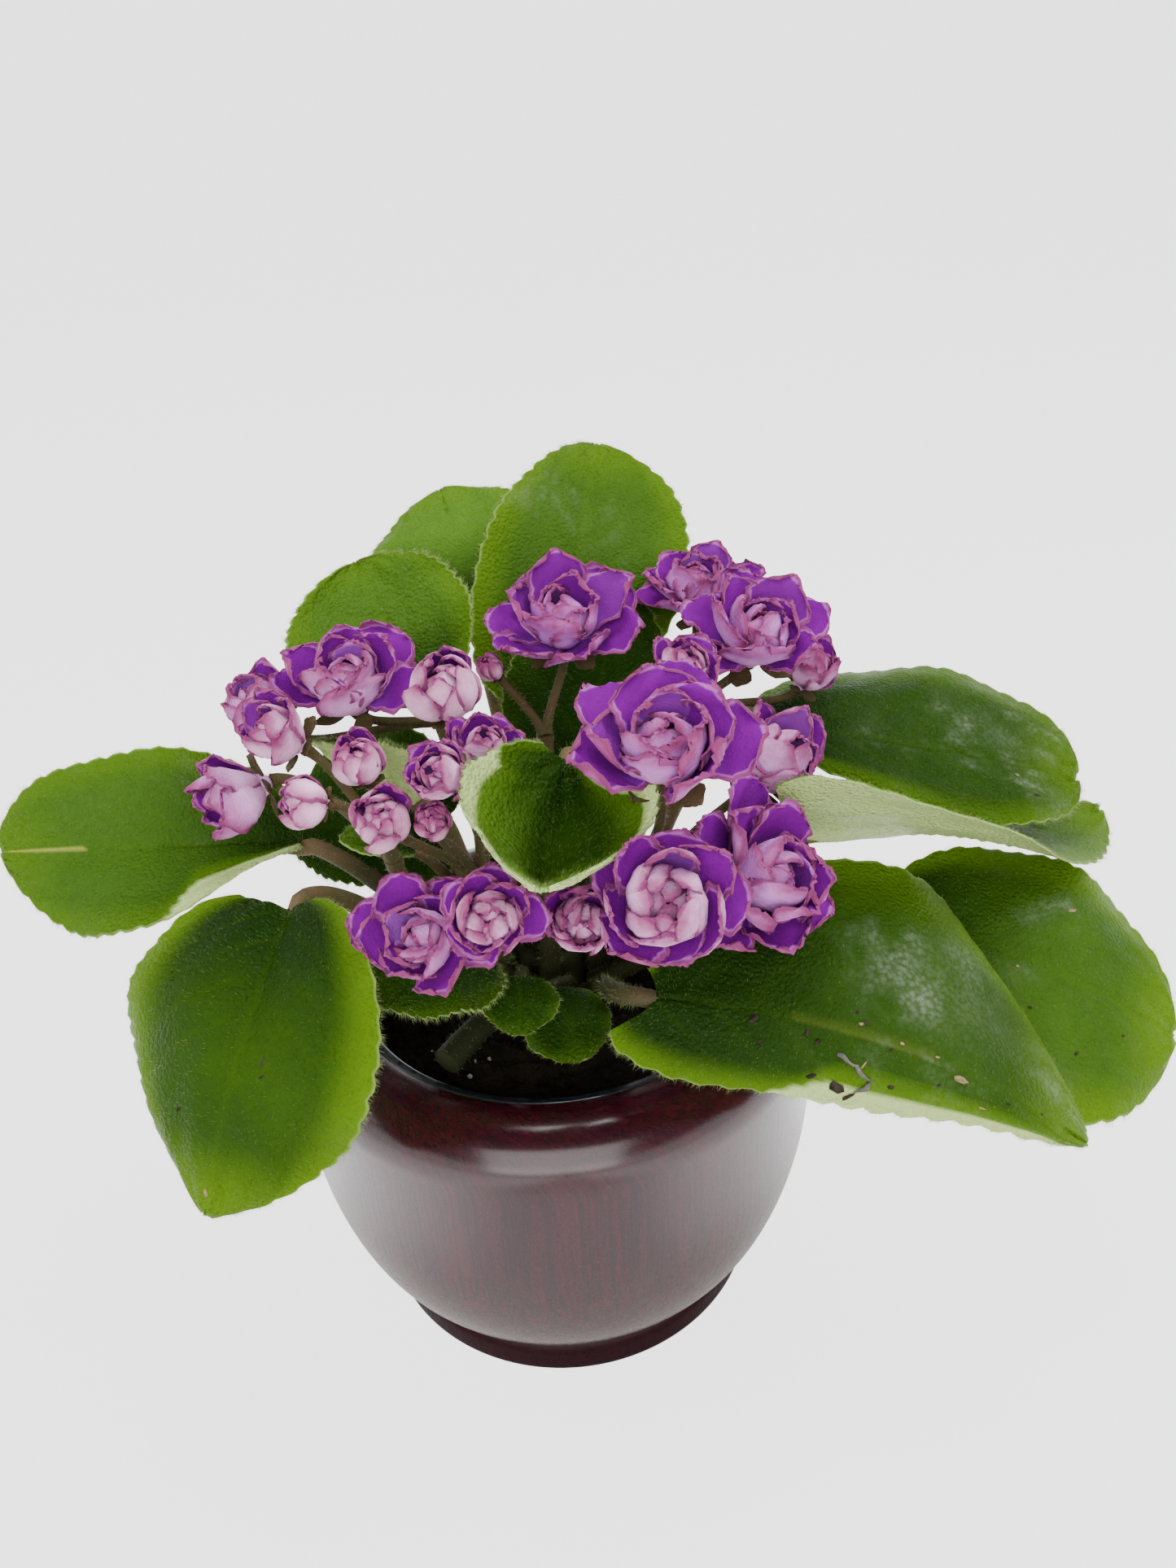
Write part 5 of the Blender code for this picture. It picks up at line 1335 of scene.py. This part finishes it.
class VIOLET_OT_soil(bpy.types.Operator):
    """Adds the soil with its crumbs and white grains"""

    bl_idname = "violet.soil"
    bl_label = "Soil"

    def execute(self, context):
        settings = context.scene.violet.soil
        floor = NURSERY_BASE + 2 + GAP
        wall = NURSERY_WALL + 2 * GAP
        hole = CROWN_RADIUS + GAP
        profile = [(0, HOLE_FLOOR), (hole, HOLE_FLOOR), (hole, SOIL_TOP)]
        edge = nursery_radius(SOIL_TOP) - wall
        profile += [(r, SOIL_TOP) for r in np.linspace(CROWN_RADIUS + 1, edge - 0.8, 62)]
        profile += [(edge, SOIL_TOP - 1.5), (nursery_radius(floor) - wall, floor), (0, floor)]
        parts = [lathe(profile, 150, soil_height)]
        draw = np.random.default_rng(SOIL_SEED)
        grains = ((settings.crumbs, 0.5, 1.7), (settings.perlite, 0.35, 0.85))
        for kind, (count, low, high) in enumerate(grains):
            radius = np.sqrt(draw.uniform(12**2, (edge - 2) ** 2, count))
            angle = draw.uniform(0, 2 * math.pi, count)
            size = low + (high - low) * draw.random(count) ** 2
            z = SOIL_TOP + soil_height(radius, SOIL_TOP, angle) + 0.25 * size
            centres = np.stack([radius * np.cos(angle), radius * np.sin(angle), z], -1)
            points, faces = crumb_shapes(centres, size, draw)
            parts.append((points, faces, kind, None))
        skins = [
            soil_material("peat", settings.peat, (0.012, 0.009, 0.006), 180.0),
            soil_material("perlite", (0.16, 0.15, 0.12), (0.34, 0.32, 0.28), 500.0)]
        make_piece("soil_top", parts, skins, "soil")
        return {"FINISHED"}


class VIOLET_OT_crown(bpy.types.Operator):
    """Adds the crown that the stalks start from, and the stump of a cut leaf stalk"""

    bl_idname = "violet.crown"
    bl_label = "Crown"

    def execute(self, context):
        bark = stalk_material("crown_skin", (0.13, 0.085, 0.045), (0.055, 0.040, 0.022))
        foot = HOLE_FLOOR + GAP
        profile = [(0, foot), (CROWN_RADIUS - 1.5, foot), (CROWN_RADIUS, 76)]
        profile += [(CROWN_RADIUS - 0.35 * (k % 2), 78 + 1.6 * k) for k in range(15)]
        profile += [(CROWN_RADIUS - 1.2, CROWN_TOP - 0.4), (CROWN_RADIUS - 2.2, CROWN_TOP)]
        profile += [(0, CROWN_TOP)]
        make_piece("crown_stem", [lathe(profile, 48)], [bark], "crown")
        cut = stalk_material("cut_stalk_skin", (0.050, 0.048, 0.020), (0.026, 0.028, 0.010))
        path, slope = bezier(*CUT_STALK, 30)
        radii = np.interp(np.linspace(0, 1, 30), np.linspace(0, 1, 6), CUT_STALK_RADII)
        draw = np.random.default_rng(STUMP_SEED)
        fuzz = hairs(*tube_hairs(path, slope, radii, 420, 1.2, draw))
        parts = [tube(path, slope, radii, 20), (fuzz[0], fuzz[1], 1, None)]
        down = hair_material("stump_down", (0.16, 0.15, 0.10))
        make_piece("cut_stalk", parts, [cut, down], "cut_leaf_stalk")
        return {"FINISHED"}


class VIOLET_OT_leaves(bpy.types.Operator):
    """Adds every leaf with its stalk and its coat of hairs"""

    bl_idname = "violet.leaves"
    bl_label = "Leaves"

    def execute(self, context):
        settings = context.scene.violet.leaf
        skin = leaf_material(settings)
        stalk = stalk_material("leaf_stalk", settings.stalk, (0.060, 0.060, 0.020))
        down = hair_material("leaf_down", (0.23, 0.32, 0.08))
        for number, (name, leaf) in enumerate(LEAVES.items()):
            shape = make_leaf(name, leaf, number, settings, [skin, stalk])
            leaf_hairs(name, leaf, shape, number, settings, down)
        return {"FINISHED"}


class VIOLET_OT_debris(bpy.types.Operator):
    """Adds crumbs of peat, dry flecks and a dry root on the leaves"""

    bl_idname = "violet.debris"
    bl_label = "Debris"

    def execute(self, context):
        settings = context.scene.violet.leaf
        parts = []
        for name, lists in DEBRIS.items():
            for kind, marks in enumerate(lists):
                parts.append((*debris_shapes(name, marks, settings), kind, None))
        parts.append(dry_root(settings))
        skins = [
            soil_material("peat_crumbs", (0.010, 0.008, 0.006), (0.050, 0.038, 0.028), 600.0),
            soil_material("dry_flecks", (0.16, 0.12, 0.06), (0.34, 0.27, 0.14), 600.0),
            soil_material("dry_root", (0.05, 0.05, 0.045), (0.17, 0.16, 0.15), 500.0)]
        make_piece("leaf_debris", parts, skins)
        return {"FINISHED"}


class VIOLET_OT_stems(bpy.types.Operator):
    """Adds the flower stems, with their forks and hairs"""

    bl_idname = "violet.stems"
    bl_label = "Flower Stems"

    def execute(self, context):
        skin = stalk_material("flower_stalk", (0.070, 0.042, 0.020), (0.045, 0.048, 0.014))
        down = hair_material("stem_down", (0.26, 0.22, 0.16))
        for number, key in enumerate(STEMS):
            draw = np.random.default_rng(STEM_SEED + number)
            parts = []
            for path, slope, radii in stem_tubes(key):
                parts.append(tube(path, slope, radii, 12))
                length = np.linalg.norm(np.diff(path, axis=0), axis=1).sum()
                fuzz = hairs(*tube_hairs(path, slope, radii, int(5 * length), 1.0, draw))
                parts.append((fuzz[0], fuzz[1], 1, None))
            name = STEMS[key][0]
            make_piece(name + "_stalks", parts, [skin, down], name)
        return {"FINISHED"}


class VIOLET_OT_blooms(bpy.types.Operator):
    """Adds the double blooms and the buds"""

    bl_idname = "violet.blooms"
    bl_label = "Blooms"

    def execute(self, context):
        settings = context.scene.violet.bloom
        petal = petal_material(settings)
        calyx = stalk_material("calyx", (0.070, 0.042, 0.020), (0.045, 0.050, 0.014))
        fringe = hair_material("petal_fringe", (0.40, 0.12, 0.24))
        pollen = soil_material("pollen_sac", (0.19, 0.075, 0.035), (0.36, 0.19, 0.06), 900.0)
        skins = [petal, calyx, fringe, pollen]
        for name, (centre, facing, radius, rings, _, seed, pale, fold) in BLOOMS.items():
            parts = bloom_parts(radius, rings, seed, settings, fold)
            parts = placed(parts, radius, facing, centre, BLOOM_DROP)
            slot = "bud" if rings is CLOSED else "petal"
            self.finish(name, parts, skins, slot, pale)
        for number, (name, (centre, facing, radius, length, _)) in enumerate(BUDS.items()):
            size = length / 1.75
            parts = bloom_parts(size, CLOSED, BUD_SEED + number, settings, 15)
            parts = placed(parts, size, facing, centre, 0.66)
            self.finish(name, parts, skins, "bud", 1.0)
        return {"FINISHED"}

    @staticmethod
    def finish(name, parts, materials, slot, pale):
        piece = make_piece(name + "_petals", parts, materials, name)
        store(piece.data, "tone", np.tile((pale, 0, 0, 1.0), len(piece.data.vertices)))


class VIOLET_OT_stage(bpy.types.Operator):
    """Adds the pale floor, the soft light and the camera"""

    bl_idname = "violet.stage"
    bl_label = "Stage"

    def execute(self, context):
        settings = context.scene.violet.stage
        self.floor(settings)
        self.light(context, settings)
        self.camera(context)
        return {"FINISHED"}

    def floor(self, settings):
        """A round floor that curves up into a wall far from the pot, all the way round."""
        bend = np.radians(np.linspace(0, 90, 13))
        reach = np.concatenate([[0.02, 0.6, 1.2], 1.8 + 0.8 * np.sin(bend), [2.6]])[:, None]
        height = np.concatenate([[0.0, 0.0, 0.0], 0.8 * (1 - np.cos(bend)), [3.4]])[:, None]
        turn = np.arange(64)[None] * 2 * math.pi / 64
        grid = np.stack([reach * np.cos(turn), reach * np.sin(turn), height + 0 * turn], -1)
        index = np.arange(grid.shape[0] * 64).reshape(-1, 64)
        ahead = np.roll(index, -1, axis=1)
        quads = np.stack([index[:-1], index[1:], ahead[1:], ahead[:-1]], -1).reshape(-1, 4)
        quads = [tuple(index[0].tolist()), *map(tuple, quads.tolist())]
        mesh = bpy.data.meshes.new("floor")
        mesh.from_pydata(grid.reshape(-1, 3).tolist(), [], quads)
        mesh.shade_smooth()
        mesh.materials.append(self.paint(settings))
        floor = bpy.data.objects.new("floor", mesh)
        bpy.context.scene.collection.objects.link(floor)

    @staticmethod
    def paint(settings):
        """Pale paint that glows a little to the camera, and to the pot's gloss off to the sides."""
        skin = Skin(
            "floor_paint", Roughness=0.75, Specular_IOR_Level=0.2, Emission_Strength=settings.glow)
        ray = skin.add("LightPath").outputs
        reach = skin.add("VectorMath", {0: skin.place}, operation="LENGTH").outputs["Value"]
        low = skin.below(skin.axis("Z"), 0.5, 1.2)
        far = skin.times(skin.above(reach, 0.06, 0.13), low)
        aside = skin.above(skin.math("ABSOLUTE", skin.axis("X")), 0.03, 0.13)
        glow = skin.blend(aside, (0.20, 0.20, 0.23), (1.0, 1.0, 1.04))
        glow = skin.blend(skin.times(far, ray["Is Glossy Ray"]), (0, 0, 0), glow)
        skin.feed("Emission Color", skin.blend(ray["Is Camera Ray"], glow, (1, 0.995, 1.0)))
        soft = skin.times(skin.mottle(2, 2, 0.9), 0.12)
        shade = skin.blend(soft, settings.floor, tuple(0.94 * c for c in settings.floor))
        seen = tuple(0.3 * c for c in settings.floor)
        skin.feed("Base Color", skin.blend(ray["Is Camera Ray"], shade, seen))
        return skin.material

    def light(self, context, settings):
        """A bright even room, a window light high behind on the right, a ceiling light, a light on
        the left and a strong fill from the front.
        """
        world = bpy.data.worlds.new("room")
        world.use_nodes = True
        sky = world.node_tree.nodes["Background"].inputs
        sky["Color"].default_value = (0.97, 0.985, 1.0, 1)
        sky["Strength"].default_value = settings.sky
        context.scene.world = world
        lamps = (
            ("window", (0.85, 0.12, 1.10), 0.60, settings.window),
            ("ceiling", (0.00, 0.06, 1.30), 0.45, settings.window * 0.7),
            ("left", (-0.90, -0.10, 0.90), 0.90, settings.window * 0.6),
            ("fill", (-0.10, -1.20, 0.75), 1.20, settings.window * 2.0),
        )
        for name, place, size, power in lamps:
            lamp = bpy.data.lights.new(name, "AREA")
            lamp.shape = "SQUARE"
            lamp.size = size
            lamp.energy = power
            made = bpy.data.objects.new(name, lamp)
            away = Vector(place) - Vector((0, 0, 0.12))
            turn = away.to_track_quat("Z", "Y").to_matrix().to_4x4()
            made.matrix_world = Matrix.Translation(place) @ turn
            context.scene.collection.objects.link(made)

    def camera(self, context):
        """The photograph's camera: its place, and its turn from the yaw, pitch and roll."""
        yaw, pitch, roll = (math.radians(a) for a in CAMERA_TURN)
        ahead = np.array([
            -math.sin(yaw) * math.cos(pitch), math.cos(yaw) * math.cos(pitch), -math.sin(pitch)])
        right = np.array([math.cos(yaw), math.sin(yaw), 0])
        up = np.cross(right, ahead)
        across = math.cos(roll) * right + math.sin(roll) * up
        rise = -math.sin(roll) * right + math.cos(roll) * up
        lens = bpy.data.cameras.new("camera")
        lens.sensor_fit = "VERTICAL"
        lens.sensor_height = SENSOR_HEIGHT
        lens.lens = SENSOR_HEIGHT * FOCAL_PIXELS / PICTURE_PIXELS
        lens.clip_start = 0.01
        made = bpy.data.objects.new("camera", lens)
        pose = np.eye(4)
        pose[:3, 0], pose[:3, 1], pose[:3, 2] = across, rise, -ahead
        pose[:3, 3] = CAMERA_PLACE
        made.matrix_world = Matrix(pose.tolist())
        context.scene.collection.objects.link(made)
        context.scene.camera = made


class VIOLET_PT_panel(bpy.types.Panel):
    """Lists the settings and the steps"""

    bl_idname = "VIOLET_PT_panel"
    bl_label = "African Violet"
    bl_space_type = "VIEW_3D"
    bl_region_type = "UI"
    bl_category = "Violet"

    def draw(self, context):
        settings = context.scene.violet
        for title in ("pot", "soil", "leaf", "bloom", "stage"):
            box = self.layout.box()
            box.label(text=title.capitalize())
            part = getattr(settings, title)
            for key in part.__annotations__:
                box.prop(part, key)
        for operator in OPERATORS:
            self.layout.operator(operator.bl_idname)


OPERATORS = (
    VIOLET_OT_stage,
    VIOLET_OT_outer_pot,
    VIOLET_OT_nursery_pot,
    VIOLET_OT_soil,
    VIOLET_OT_crown,
    VIOLET_OT_leaves,
    VIOLET_OT_debris,
    VIOLET_OT_stems,
    VIOLET_OT_blooms,
)
GROUPS = (PotSettings, SoilSettings, LeafSettings, BloomSettings, StageSettings, VioletSettings)


def register():
    for made in (*GROUPS, *OPERATORS, VIOLET_PT_panel):
        bpy.utils.register_class(made)
    bpy.types.Scene.violet = PointerProperty(type=VioletSettings)


def unregister():
    del bpy.types.Scene.violet
    for made in reversed((*GROUPS, *OPERATORS, VIOLET_PT_panel)):
        bpy.utils.unregister_class(made)


def main():
    register()
    for operator in OPERATORS:
        group_name, name = operator.bl_idname.split(".")
        getattr(getattr(bpy.ops, group_name), name)()


if __name__ == "__main__":
    main()
